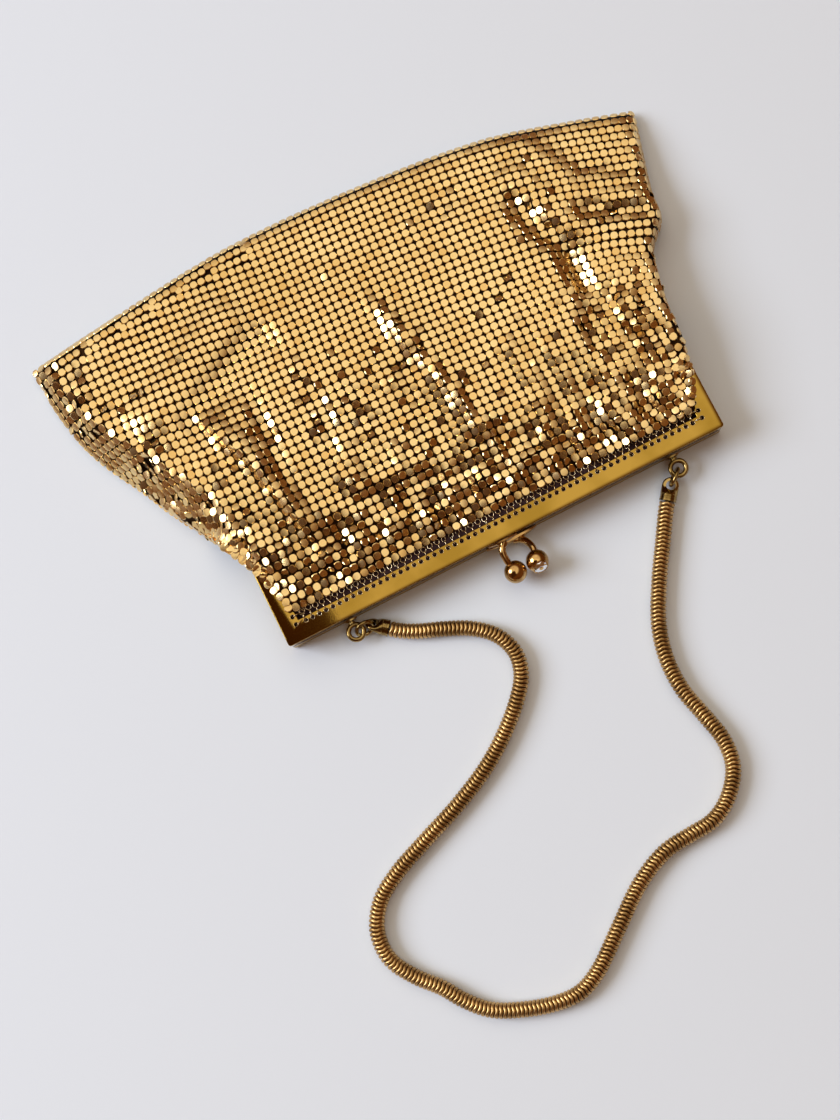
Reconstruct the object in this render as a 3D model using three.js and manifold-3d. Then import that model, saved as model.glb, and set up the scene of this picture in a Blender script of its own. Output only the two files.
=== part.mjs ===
// A metal mesh purse lying on its back: a hinged kiss-lock frame of two brass jaws, a bag of gilt mesh
// panels round a cloth lining, and a snake chain laid on the table.
// Millimetres. +X runs along the frame, +Y from the frame to the bag's bottom edge, +Z up from the table.
import * as THREE from "three";
import { mergeVertices } from "three/addons/utils/BufferGeometryUtils.js";
import Module from "manifold-3d";

const wasm = await Module();
wasm.setup();

// Frame: two pressed jaws, face to face at the seam
const frameWidth = 152;
const frameDepth = 12;
const legLength = 33;
const plate = 0.9;
const edgeBevel = 1.1;
const flangeWidth = 6.4;
const flangeTip = 4.4;
const holeDiameter = 1.4;
const holePitch = 2.37;
const holeInset = 5.1;
const holeRowEnd = 8.4;
const fitGap = 0.3;

// Hinge at the end of each leg
const pinDiameter = 1.8;
const pinHead = 3.4;
const pinHeadThickness = 0.6;
const lugDiameter = 6;

// Bag, as it lies
const bagDrop = 127.5;
const bagBottomWidth = 213.4;
const bagLean = -6.6;
const meshThickness = 1.2;
const meshDrop = 121;

// Lining
const liningWall = 1;
const liningDrop = 112;
const liningClearance = 4;

// Kiss-lock
const ballDiameter = 7.3;
const ballReach = 10.7;
const ballHeight = 6.6;
const stemDiameter = 2.3;
const stoneDiameter = 5;
const stoneAngle = 35;
const bezelWall = 0.35;

// Eyelets, links and chain
const eyeletDiameter = 6.5;
const eyeletWire = 1.6;
const eyeletStandoff = 4.6;
const eyeletHeight = 4.5;
const linkWire = 1.3;
const chainDiameter = 5;
const chainReach = 135;
const capLength = 5.4;
const capSleeve = 2.6;
const tabThickness = 1.3;
const tabWidth = 5.4;
const tabHole = 3.1;

const halfWidth = frameWidth / 2;
const seamHeight = frameDepth / 2;
const capRadius = chainDiameter / 2 + 0.2;

// Rows of the front panel from the frame down: how high its middle stands, as shares of the frame's depth
const bellyRows = [
  { down: 0, crown: 0.99 },
  { down: 0.06, crown: 1.08 },
  { down: 0.18, crown: 1.22 },
  { down: 0.38, crown: 1.24 },
  { down: 0.6, crown: 1.06 },
  { down: 0.8, crown: 0.84 },
  { down: 0.91, crown: 0.62 },
  { down: 0.965, crown: 0.4 },
  { down: 1, crown: 0.21 },
];

// The bottom edge from left to right: shares of half the bottom's width and of the bag's drop
const bottomEdge = [
  { across: -1, drop: 0.941 },
  { across: -0.72, drop: 0.969 },
  { across: -0.28, drop: 1 },
  { across: 0.2, drop: 0.982 },
  { across: 0.56, drop: 0.944 },
  { across: 0.79, drop: 0.889 },
  { across: 1, drop: 0.831 },
];

// How far each side edge bows out of straight on its way down, as shares of the bag's drop
const sideBows = [
  { down: 0, left: 0, right: 0 },
  { down: 0.2, left: 0.02, right: -0.005 },
  { down: 0.4, left: 0.041, right: -0.026 },
  { down: 0.5, left: 0.047, right: -0.031 },
  { down: 0.65, left: 0.063, right: 0.011 },
  { down: 0.75, left: 0.06, right: 0 },
  { down: 0.87, left: 0.037, right: 0 },
  { down: 1, left: 0, right: 0 },
];

// Folds of the front panel, each a ridge or a trough along a bent line. Places are shares of half the
// bottom's width and of the bag's drop; rise and the two flanks' widths are shares of the frame's depth.
const folds = [
  { fromX: 0.11, fromY: 0.11, viaX: 0.05, viaY: 0.4, toX: -0.03, toY: 0.68, rise: 0.28, left: 0.36, right: 0.28 },
  { fromX: 0.49, fromY: 0.3, viaX: 0.54, viaY: 0.56, toX: 0.46, toY: 0.82, rise: -0.25, left: 0.5, right: 0.42 },
  { fromX: 0.41, fromY: 0.28, viaX: 0.47, viaY: 0.43, toX: 0.52, toY: 0.66, rise: 0.22, left: 0.6, right: 0.32 },
  { fromX: -0.49, fromY: 0.14, viaX: -0.53, viaY: 0.44, toX: -0.66, toY: 0.65, rise: 0.27, left: 0.8, right: 0.32 },
  { fromX: -0.86, fromY: 0.62, viaX: -0.86, viaY: 0.8, toX: -0.84, toY: 0.93, rise: -0.13, left: 0.36, right: 0.36 },
  { fromX: -0.82, fromY: 0.74, viaX: -0.56, viaY: 0.88, toX: -0.3, toY: 0.98, rise: 0.15, left: 0.9, right: 0.8 },
  { fromX: -0.74, fromY: 0.67, viaX: -0.5, viaY: 0.8, toX: -0.3, toY: 0.9, rise: -0.16, left: 0.7, right: 0.7 },
  { fromX: 0.54, fromY: 0.91, viaX: 0.63, viaY: 0.75, toX: 0.63, toY: 0.62, rise: 0.17, left: 0.5, right: 0.5 },
  { fromX: 0.66, fromY: 0.67, viaX: 0.76, viaY: 0.6, toX: 0.88, toY: 0.55, rise: -0.2, left: 0.34, right: 0.34 },
  { fromX: 0.56, fromY: 0.52, viaX: 0.54, viaY: 0.4, toX: 0.53, toY: 0.28, rise: -0.1, left: 0.4, right: 0.45 },
  { fromX: 0.68, fromY: 0.5, viaX: 0.65, viaY: 0.4, toX: 0.62, toY: 0.28, rise: 0.18, left: 0.4, right: 0.4 },
  { fromX: -0.47, fromY: 0.19, viaX: 0.1, viaY: 0.2, toX: 0.5, toY: 0.22, rise: -0.18, left: 0.42, right: 0.42 },
];
const gathers = { count: 9, rise: 0.09, reach: 0.3 };

// Where the chain hangs on the frame: the eyelet, as a share of half the frame's width, then the directions
// from its hole to the cap's hole and along the cap into the chain, and the leans from level of the link and
// the cap's tab, all in degrees
const hangers = [
  { side: "left", across: -0.732, toCap: -3, toChain: -40, linkLean: 34, tabLean: 48 },
  { side: "right", across: 0.766, toCap: -141, toChain: -128, linkLean: 6, tabLean: 6 },
];

// The chain's route over the table between its two ends, from left to right: shares of half the frame's
// width and of the chain's reach below the frame
const chainRoute = [
  { across: -0.505, out: 0.096 }, { across: -0.408, out: 0.118 }, { across: -0.296, out: 0.149 },
  { across: -0.217, out: 0.19 }, { across: -0.182, out: 0.244 }, { across: -0.202, out: 0.296 },
  { across: -0.266, out: 0.344 }, { across: -0.371, out: 0.398 }, { across: -0.501, out: 0.449 },
  { across: -0.684, out: 0.499 }, { across: -0.868, out: 0.538 }, { across: -1.033, out: 0.576 },
  { across: -1.139, out: 0.615 }, { across: -1.205, out: 0.674 }, { across: -1.208, out: 0.741 },
  { across: -1.147, out: 0.801 }, { across: -1.068, out: 0.851 }, { across: -1.005, out: 0.902 },
  { across: -0.928, out: 0.945 }, { across: -0.803, out: 0.978 }, { across: -0.678, out: 0.997 },
  { across: -0.572, out: 0.999 }, { across: -0.471, out: 0.975 }, { across: -0.32, out: 0.911 },
  { across: -0.153, out: 0.841 }, { across: -0.007, out: 0.804 }, { across: 0.118, out: 0.796 },
  { across: 0.224, out: 0.79 }, { across: 0.318, out: 0.76 }, { across: 0.395, out: 0.704 },
  { across: 0.413, out: 0.64 }, { across: 0.389, out: 0.57 }, { across: 0.359, out: 0.496 },
  { across: 0.358, out: 0.422 }, { across: 0.393, out: 0.342 }, { across: 0.484, out: 0.245 },
  { across: 0.575, out: 0.166 },
];

// Finishes
const finishes = {
  jawBrass: { color: 0xb58a2e, roughness: 0.28, metalness: 1 },
  claspBrass: { color: 0x9a7436, roughness: 0.3, metalness: 1 },
  chainBrass: { color: 0x8f7040, roughness: 0.35, metalness: 1 },
  giltMesh: { color: 0xe2bf72, roughness: 0.25, metalness: 1 },
  maroonLining: { color: 0x4a2a2c, roughness: 0.9, metalness: 0 },
  crystal: { color: 0xf2f4f6, roughness: 0.05, metalness: 0 },
};

const purse = new THREE.Group();

function addPiece(name, geometry, finish) {
  const piece = new THREE.Mesh(geometry, new THREE.MeshStandardMaterial(finishes[finish]));
  piece.name = name;
  purse.add(piece);
}

// Position-only copy of a geometry with its shared corners merged
function merged(geometry) {
  const bare = geometry.clone();
  bare.deleteAttribute("normal");
  bare.deleteAttribute("uv");
  return mergeVertices(bare, 1e-4);
}

function solidOf(geometry) {
  const bare = merged(geometry);
  return new wasm.Manifold(
    new wasm.Mesh({
      numProp: 3,
      vertProperties: bare.attributes.position.array,
      triVerts: new Uint32Array(bare.index.array),
    }),
  );
}

function geometryOf(solid) {
  const { vertProperties, triVerts } = solid.getMesh();
  const geometry = new THREE.BufferGeometry();
  geometry.setAttribute("position", new THREE.BufferAttribute(vertProperties, 3));
  geometry.setIndex(new THREE.BufferAttribute(triVerts, 1));
  return geometry;
}

// A flat outline pushed straight up, from z = bottom to z = top
function slab(outline, bottom, top) {
  const shape = new THREE.Shape(outline.map(([x, y]) => new THREE.Vector2(x, y)));
  const geometry = new THREE.ExtrudeGeometry(shape, { depth: top - bottom, bevelEnabled: false });
  return geometry.translate(0, 0, bottom);
}

function block(lowX, highX, lowY, highY, lowZ, highZ) {
  const geometry = new THREE.BoxGeometry(highX - lowX, highY - lowY, highZ - lowZ);
  return geometry.translate((lowX + highX) / 2, (lowY + highY) / 2, (lowZ + highZ) / 2);
}

// A round bar along X, centred at (x, y, z)
function barAlongX(radius, length, sides, x, y, z) {
  const geometry = new THREE.CylinderGeometry(radius, radius, length, sides);
  return geometry.rotateZ(Math.PI / 2).translate(x, y, z);
}

// A polygon of equal sides, as a section to carry along a path
function roundSection(radius, sides) {
  const corners = Array.from({ length: sides }, (_, i) => {
    const angle = ((i + 0.5) * 2 * Math.PI) / sides;
    return new THREE.Vector2(radius * Math.cos(angle), radius * Math.sin(angle));
  });
  return new THREE.Shape(corners);
}

function wireAlong(points, diameter, sides, steps) {
  const path = new THREE.CatmullRomCurve3(points, false, "centripetal");
  const options = { steps, extrudePath: path, bevelEnabled: false };
  return new THREE.ExtrudeGeometry(roundSection(diameter / 2, sides), options);
}

// A smooth value read from a table: rows sorted by their first column, a cubic between neighbours
function valueAt(table, argument, key, at) {
  const last = table.length - 1;
  const t = Math.min(Math.max(at, table[0][argument]), table[last][argument]);
  const i = Math.min(table.findLastIndex((row) => row[argument] <= t), last - 1);
  const [a, b] = [table[i], table[i + 1]];
  const before = table[Math.max(i - 1, 0)];
  const after = table[Math.min(i + 2, last)];
  const span = b[argument] - a[argument];
  const slopeA = ((b[key] - before[key]) / (b[argument] - before[argument])) * span;
  const slopeB = ((after[key] - a[key]) / (after[argument] - a[argument])) * span;
  const s = (t - a[argument]) / span;
  const rest = b[key] - a[key];
  return a[key] + s * (slopeA + s * (3 * rest - 2 * slopeA - slopeB + s * (slopeA + slopeB - 2 * rest)));
}

const smooth = THREE.MathUtils.smoothstep;

// Jaws: half of the frame's outer form, bevelled along the bar and along both legs
function jawForm(inset, bottom, end) {
  const bevel = edgeBevel - inset * (2 - Math.SQRT2);
  const side = halfWidth - inset;
  const top = frameDepth - inset;
  const shoulder = top - bevel;
  const acrossLegs = slab(
    [[-side, bottom], [side, bottom], [side, shoulder], [side - bevel, top], [bevel - side, top], [-side, shoulder]],
    0,
    end,
  );
  acrossLegs.rotateX(Math.PI / 2).translate(0, end, 0);
  const acrossBar = slab(
    [[inset, bottom], [end, bottom], [end, top], [inset + bevel, top], [inset, shoulder]],
    -side,
    side,
  );
  acrossBar.rotateX(Math.PI / 2).rotateZ(Math.PI / 2);
  return solidOf(acrossLegs).intersect(solidOf(acrossBar));
}

const hingeY = legLength - lugDiameter / 2 - fitGap;
const jawFace = seamHeight + fitGap / 2;

function jawShell() {
  const overshoot = 2;
  const lipX = halfWidth - flangeWidth;
  const tipX = halfWidth - flangeTip;
  const end = legLength + overshoot;
  const taperY = legLength * 0.6;
  const mouth = slab(
    [[-lipX, flangeWidth], [lipX, flangeWidth], [lipX, taperY], [tipX, end], [-tipX, end], [-lipX, taperY]],
    0,
    frameDepth + overshoot,
  );
  const form = jawForm(0, jawFace, legLength);
  const inside = jawForm(plate, 0, end);
  return form.subtract(inside).subtract(solidOf(mouth));
}

// The row of holes that the mesh hangs from
function pierced(jaw) {
  const span = frameWidth - 2 * holeRowEnd;
  const count = Math.floor(span / holePitch) + 1;
  const start = (-(count - 1) * holePitch) / 2;
  let left = jaw;
  for (let i = 0; i < count; i++) {
    const hole = new THREE.CylinderGeometry(holeDiameter / 2, holeDiameter / 2, 4 * plate, 6);
    hole.rotateX(Math.PI / 2).translate(start + i * holePitch, holeInset, frameDepth);
    left = left.subtract(solidOf(hole));
  }
  return left;
}

// The back jaw is the front one turned over about the Y axis
function turnedOver(geometry) {
  return geometry.rotateY(Math.PI).translate(0, 0, frameDepth);
}

function lugDisc(x, thickness, radius) {
  return solidOf(barAlongX(radius, thickness, 16, x, hingeY, seamHeight));
}

const outerLugX = halfWidth - plate / 2;
const innerLugX = outerLugX - plate - fitGap;
const pinBore = pinDiameter / 2 + fitGap;

function frontJaw() {
  let jaw = pierced(jawShell());
  for (const side of [-1, 1]) {
    jaw = jaw.add(lugDisc(side * outerLugX, plate, lugDiameter / 2));
    jaw = jaw.subtract(lugDisc(side * outerLugX, 3 * plate, pinBore));
  }
  return geometryOf(jaw);
}

function backJaw() {
  let jaw = solidOf(turnedOver(geometryOf(pierced(jawShell()))));
  for (const side of [-1, 1]) {
    const [lowX, highX] = [side * innerLugX - plate / 2, side * innerLugX + plate / 2];
    const ear = block(lowX, highX, hingeY - lugDiameter / 2, hingeY + lugDiameter / 2, plate / 2, seamHeight);
    jaw = jaw.subtract(lugDisc(side * outerLugX, 1.2 * plate, lugDiameter / 2 + fitGap));
    jaw = jaw.add(solidOf(ear)).add(lugDisc(side * innerLugX, plate, lugDiameter / 2));
    jaw = jaw.subtract(lugDisc(side * innerLugX, 3 * plate, pinBore));
  }
  return geometryOf(jaw);
}

// A hinge pin: flush with the leg's outer face, headed on the inside
function hingePin(side) {
  const inner = innerLugX - plate / 2 - fitGap;
  const shaft = barAlongX(
    pinDiameter / 2, halfWidth - inner, 12, (side * (halfWidth + inner)) / 2, hingeY, seamHeight,
  );
  const head = barAlongX(
    pinHead / 2, pinHeadThickness, 12, side * (inner - pinHeadThickness / 2), hingeY, seamHeight,
  );
  return geometryOf(solidOf(shaft).add(solidOf(head)));
}

addPiece("front_jaw", frontJaw(), "jawBrass");
addPiece("back_jaw", backJaw(), "jawBrass");
addPiece("hinge_pin_left", hingePin(-1), "jawBrass");
addPiece("hinge_pin_right", hingePin(1), "jawBrass");

// Mesh panels: a line along which the top row of mesh hangs, from the left hinge round the bar to the right
const meshInset = flangeWidth + 2 * fitGap;
const innerX = halfWidth - meshInset;

function topLine(leftLeaveY, leftEnd, rightLeaveY, rightEnd) {
  const line = new THREE.CurvePath();
  const corners = [
    leftEnd, [-innerX, leftLeaveY], [-innerX, meshInset], [innerX, meshInset], [innerX, rightLeaveY], rightEnd,
  ].map(([x, y]) => new THREE.Vector3(x, y, 0));
  corners.slice(1).forEach((corner, i) => line.add(new THREE.LineCurve3(corners[i], corner)));
  return line;
}

const bottomLine = new THREE.CatmullRomCurve3(
  bottomEdge.map(
    ({ across, drop }) => new THREE.Vector3(bagLean + (across * bagBottomWidth) / 2, drop * bagDrop, 0),
  ),
);

// A point of the sheet seen from above. Rows keep their pitch upward from the bottom edge and bunch up
// towards the hinges, where the sheet is longer than the way it has to go.
function planPoint(top, across, down) {
  const high = top.getPointAt(across);
  const low = bottomLine.getPointAt(across);
  const way = high.distanceTo(low);
  const spare = Math.max(meshDrop / way, 1);
  const up = 1 - down;
  const share = up * spare - (spare - 1) * up ** 3;
  const point = low.lerp(high, share);
  point.x -= valueAt(sideBows, "down", "left", down) * bagDrop * (1 - across) ** 3;
  point.x += valueAt(sideBows, "down", "right", down) * bagDrop * across ** 3;
  return point;
}

// Height that one fold adds at a place: a rounded ridge or trough that dies out at both ends of its line
function foldHeight(fold, x, y) {
  const line = [
    [fold.fromX, fold.fromY], [fold.viaX, fold.viaY], [fold.toX, fold.toY],
  ].map(([a, b]) => new THREE.Vector2((a * bagBottomWidth) / 2, b * bagDrop));
  const place = new THREE.Vector2(x, y);
  let nearest = { distance: Infinity };
  for (const part of [0, 1]) {
    const run = line[part + 1].clone().sub(line[part]);
    const offset = place.clone().sub(line[part]);
    const share = THREE.MathUtils.clamp(offset.dot(run) / run.lengthSq(), 0, 1);
    const distance = offset.distanceTo(run.clone().multiplyScalar(share));
    if (distance < nearest.distance) nearest = { distance, along: (part + share) / 2, left: run.cross(offset) > 0 };
  }
  const flank = (nearest.left ? fold.left : fold.right) * frameDepth;
  const taper = smooth(Math.min(nearest.along, 1 - nearest.along), 0, 0.2);
  return fold.rise * frameDepth * taper * Math.exp(-((nearest.distance / flank) ** 2));
}

const seamHeightFront = meshThickness * 1.5 + 2 * fitGap;

// Front panel: a belly that stands over the frame, folds and gathers, and a flat seam row at its rim
function frontPoint(across, down) {
  const point = planPoint(frontTop, across, down);
  const { x, y } = point;
  const crown = valueAt(bellyRows, "down", "crown", down) * frameDepth;
  const fullness = 1 - Math.abs(2 * across - 1) ** 5;
  let height = seamHeightFront + (crown - seamHeightFront) * fullness;
  const fromRim = Math.min(across, 1 - across, 1 - down);
  const fromTop = smooth(down, 0, 0.12);
  const relief = folds.reduce((sum, fold) => sum + foldHeight(fold, x, y), 0);
  height += relief * smooth(fromRim, 0.01, 0.09) * fromTop;
  const waves = Math.cos(2 * Math.PI * gathers.count * across);
  height += gathers.rise * frameDepth * waves * fromTop * (1 - smooth(down, 0.1, gathers.reach));
  const overLeg = frameDepth + meshThickness / 2 + 3 * fitGap;
  const besideLeg = smooth(Math.abs(x), innerX - 4.5, innerX - 0.6);
  const beforeEnd = 1 - smooth(y, legLength + 2, legLength + 13);
  height += Math.max(overLeg - height, 0) * besideLeg * beforeEnd;
  point.z = height;
  return point;
}

// Back panel: flat on the table, drawn in between the legs so that it clears them
function backPoint(across, down) {
  const point = planPoint(backTop, across, down);
  const besideLegs = 1 - smooth(point.y, legLength + fitGap, legLength + meshInset);
  const beyond = Math.max(Math.abs(point.x) - innerX + meshInset, 0);
  point.x -= Math.sign(point.x) * beyond * besideLegs * 0.5;
  point.z = meshThickness / 2;
  return point;
}

const overhang = halfWidth + meshThickness;
const frontTop = topLine(
  legLength * 0.5, [-overhang, legLength * 0.9], legLength * 0.36, [overhang, legLength * 0.64],
);
const backTop = topLine(
  legLength + meshInset / 4, [-overhang, legLength + meshInset / 3],
  legLength + meshInset / 4, [overhang, legLength + meshInset / 3],
);

// A sheet of even thickness: a box of many cells bent so that its middle follows a surface
function bentSheet(middle, thickness, columns, rows) {
  const sheet = merged(new THREE.BoxGeometry(1, 1, 1, columns, rows, 1));
  const places = sheet.attributes.position;
  const nudge = 0.004;
  for (let i = 0; i < places.count; i++) {
    const across = places.getX(i) + 0.5;
    const down = places.getY(i) + 0.5;
    const point = middle(across, down);
    const right = middle(Math.min(across + nudge, 1), down).sub(middle(Math.max(across - nudge, 0), down));
    const along = middle(across, Math.min(down + nudge, 1)).sub(middle(across, Math.max(down - nudge, 0)));
    const normal = right.cross(along).normalize();
    point.addScaledVector(normal, places.getZ(i) * thickness);
    places.setXYZ(i, point.x, point.y, point.z);
  }
  return sheet;
}

addPiece("mesh_front_panel", bentSheet(frontPoint, meshThickness, 42, 18), "giltMesh");
addPiece("mesh_back_panel", bentSheet(backPoint, meshThickness, 20, 7), "giltMesh");

// Lining: a flat cloth pocket inside the mesh, its mouth tucked under the frame's flanges.
// Rows from the mouth down: shares of half the lining's width to either side, and of the frame's depth.
const liningRows = [
  { down: 0, left: 1, right: 1, top: 0.86 },
  { down: 0.12, left: 1, right: 0.97, top: 0.8 },
  { down: 0.32, left: 1, right: 0.92, top: 0.76 },
  { down: 0.55, left: 1.1, right: 0.9, top: 0.72 },
  { down: 0.78, left: 1.2, right: 0.95, top: 0.52 },
  { down: 1, left: 1.3, right: 0.9, top: 0.34 },
];
const liningStart = plate + 2 * fitGap;
const liningFloor = meshThickness + fitGap;

// A point of the pocket's section at one row: turn goes round it, reach goes from its middle to its skin
function liningPoint(turn, down, reach, inset) {
  const half = halfWidth - liningClearance;
  const leftX = inset - valueAt(liningRows, "down", "left", down) * half;
  const rightX = valueAt(liningRows, "down", "right", down) * half - inset;
  const top = valueAt(liningRows, "down", "top", down) * frameDepth - inset;
  const bottom = liningFloor + inset;
  const squared = (value, power) => Math.sign(value) * Math.abs(value) ** power;
  const x = (leftX + rightX + reach * squared(Math.cos(turn), 0.7) * (rightX - leftX)) / 2;
  const z = (top + bottom + reach * squared(Math.sin(turn), 0.75) * (top - bottom)) / 2;
  return { x, z };
}

// The pocket starts as a cup turned about the Y axis, its inner wall of radius 1 and its outer wall of radius 2
function liningPocket() {
  const run = liningDrop - liningStart;
  const floor = 1 - liningWall / run;
  const rows = Array.from({ length: 9 }, (_, i) => i / 8);
  const profile = [
    new THREE.Vector2(0, floor),
    ...rows.toReversed().map((down) => new THREE.Vector2(1, down * floor)),
    ...rows.map((down) => new THREE.Vector2(2, down)),
    new THREE.Vector2(0, 1),
  ];
  const pocket = merged(new THREE.LatheGeometry(profile, 20));
  const places = pocket.attributes.position;
  for (let i = 0; i < places.count; i++) {
    const [x, down, z] = [places.getX(i), places.getY(i), places.getZ(i)];
    const radius = Math.hypot(x, z);
    const inset = Math.abs(radius - 1) < 0.5 ? liningWall : 0;
    const point = liningPoint(Math.atan2(z, x), down, Math.min(radius, 1), inset);
    places.setXYZ(i, point.x, liningStart + down * run, point.z);
  }
  return pocket;
}

addPiece("lining", liningPocket(), "maroonLining");

// Kiss-lock: each half is a domed foot on its jaw's ledge, a bent stem and a ball beside the other's
function foot(lowX, highX, bulge, middleZ) {
  const halfChord = (highX - lowX) / 2;
  const outline = Array.from({ length: 9 }, (_, i) => {
    const share = i / 4 - 1;
    return [(lowX + highX) / 2 - share * halfChord, -fitGap - 0.25 - bulge * (1 - share * share)];
  });
  outline.push([lowX, -fitGap], [highX, -fitGap]);
  const halfHeight = seamHeight * 0.32;
  return solidOf(slab(outline, middleZ - halfHeight, middleZ + halfHeight));
}

function stem(points) {
  const places = points.map(([x, y, z]) => new THREE.Vector3(x, y, z));
  return solidOf(wireAlong(places, stemDiameter, 8, 8));
}

function ball(x) {
  const geometry = new THREE.SphereGeometry(ballDiameter / 2, 16, 10);
  return solidOf(geometry.rotateX(Math.PI / 2).translate(x, -ballReach, ballHeight));
}

const ballHalfSpread = ballDiameter / 2 + fitGap / 2;
const claspX = 1.5;
const frontBallX = claspX - ballHalfSpread;
const backBallX = claspX + ballHalfSpread;
const stemRootY = -fitGap - stemDiameter * 0.35;
const frontFootZ = seamHeight * 1.5;
const backFootZ = seamHeight * 0.5;

function claspFront() {
  const root = claspX - 3;
  const arch = stem([
    [root, stemRootY, frontFootZ],
    [root - 1.6, -ballReach * 0.3, frontFootZ + 0.2],
    [root - 1.7, -ballReach * 0.62, (frontFootZ + ballHeight) / 2 + 0.6],
    [frontBallX, -ballReach, ballHeight],
  ]);
  const plateFoot = foot(claspX - 8, claspX + 2, 1, frontFootZ);
  return geometryOf(plateFoot.add(arch).add(ball(frontBallX)));
}

// Turns a geometry made along +Y to the way the stone faces, and sets it at the back ball
function facingOut(geometry) {
  return geometry.rotateX(THREE.MathUtils.degToRad(180 - stoneAngle)).translate(backBallX, -ballReach, ballHeight);
}

const stoneSeat = Math.sqrt((ballDiameter / 2) ** 2 - (stoneDiameter / 2) ** 2);
const stoneDepth = 1.4;

function claspBack() {
  const root = claspX + 0.6;
  const arch = stem([
    [root, stemRootY, backFootZ],
    [root + 2.4, -ballReach * 0.22, backFootZ + 0.4],
    [root + 3.9, -ballReach * 0.52, (backFootZ + ballHeight) / 2],
    [backBallX, -ballReach, ballHeight],
  ]);
  const plateFoot = foot(claspX - 8.8, claspX + 8.8, 1.5, backFootZ);
  const pocketRadius = stoneDiameter / 2 + fitGap;
  const rimRadius = pocketRadius + bezelWall;
  const rim = new THREE.CylinderGeometry(rimRadius, rimRadius, stoneDepth, 16);
  const pocket = new THREE.CylinderGeometry(pocketRadius, pocketRadius, 3 * stoneDepth, 16);
  const rimSolid = solidOf(facingOut(rim.translate(0, stoneSeat - stoneDepth / 2, 0)));
  const pocketSolid = solidOf(facingOut(pocket.translate(0, stoneSeat + stoneDepth / 2, 0)));
  const body = plateFoot.add(arch).add(ball(backBallX)).add(rimSolid);
  return geometryOf(body.subtract(pocketSolid));
}

// A round-cut stone: table, eight facets from table to girdle, and a blunt back in the bezel
function stone() {
  const girdle = stoneDiameter / 2;
  const profile = [
    new THREE.Vector2(0, fitGap - stoneDepth + 0.4),
    new THREE.Vector2(girdle * 0.55, fitGap - stoneDepth + 0.4),
    new THREE.Vector2(girdle, -0.25),
    new THREE.Vector2(girdle, 0),
    new THREE.Vector2(girdle * 0.55, 0.85),
    new THREE.Vector2(0, 0.85),
  ];
  const cut = new THREE.LatheGeometry(profile, 8);
  return facingOut(cut.translate(0, stoneSeat, 0));
}

addPiece("clasp_front", claspFront(), "claspBrass");
addPiece("clasp_back", claspBack(), "claspBrass");
addPiece("clasp_stone", merged(stone()), "crystal");

// A cap: a sleeve against the chain's end, pressed flat into a round-ended tab with a hole.
// Built along +X from the chain's end face, with the hole's axis along Z.
function capForm() {
  const half = tabWidth / 2;
  const neck = 1.3;
  const profile = [
    new THREE.Vector2(0, fitGap),
    new THREE.Vector2(capRadius, fitGap),
    new THREE.Vector2(capRadius, capSleeve),
    new THREE.Vector2(tabThickness, capSleeve + neck),
    new THREE.Vector2(0, capSleeve + neck),
  ];
  const sleeve = new THREE.LatheGeometry(profile, 12).rotateZ(-Math.PI / 2);
  const outline = new THREE.Shape();
  outline.moveTo(capSleeve - 0.4, -half);
  outline.lineTo(capLength, -half);
  outline.absarc(capLength, 0, half, -Math.PI / 2, Math.PI / 2, false);
  outline.lineTo(capSleeve - 0.4, half);
  const hole = new THREE.Path();
  hole.absarc(capLength, 0, tabHole / 2, 0, 2 * Math.PI, true);
  outline.holes.push(hole);
  const options = { depth: tabThickness, bevelEnabled: false, curveSegments: 6 };
  const tab = new THREE.ExtrudeGeometry(outline, options).translate(0, 0, -tabThickness / 2);
  return geometryOf(solidOf(sleeve).add(solidOf(tab)));
}

// A ring in a plane that holds the line between two points and leans from upright by an angle
function linkBetween(from, to, radius, lean) {
  const along = to.clone().sub(from).normalize();
  const level = new THREE.Vector3(0, 0, 1).cross(along).normalize();
  const upright = along.clone().cross(level);
  const upward = upright.applyAxisAngle(along, -lean);
  const turned = new THREE.Matrix4().makeBasis(along, upward, along.clone().cross(upward));
  const ring = new THREE.TorusGeometry(radius, linkWire / 2, 6, 14);
  const middle = from.clone().add(to).multiplyScalar(0.5);
  return ring.applyMatrix4(turned).translate(middle.x, middle.y, middle.z);
}

function eyelet(x) {
  const ring = new THREE.TorusGeometry((eyeletDiameter - eyeletWire) / 2, eyeletWire / 2, 6, 14);
  ring.translate(x, -eyeletStandoff, eyeletHeight);
  const padHalf = eyeletDiameter * 0.34;
  const padTop = eyeletHeight + eyeletWire * 0.7;
  const padBottom = eyeletHeight - eyeletWire * 0.7;
  const padDepth = eyeletStandoff - eyeletDiameter / 2 + eyeletWire * 0.4;
  const pad = block(x - padHalf, x + padHalf, -padDepth, -fitGap, padBottom, padTop);
  return geometryOf(solidOf(ring).add(solidOf(pad)));
}

// A level step of a given length in a direction given in degrees from +X
function step(degrees, length) {
  const angle = THREE.MathUtils.degToRad(degrees);
  return new THREE.Vector3(length * Math.cos(angle), length * Math.sin(angle), 0);
}

const linkSpan = eyeletDiameter * 0.9;
const linkRadius = linkSpan / 2 - 0.05;
const chainEnds = [];

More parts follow.
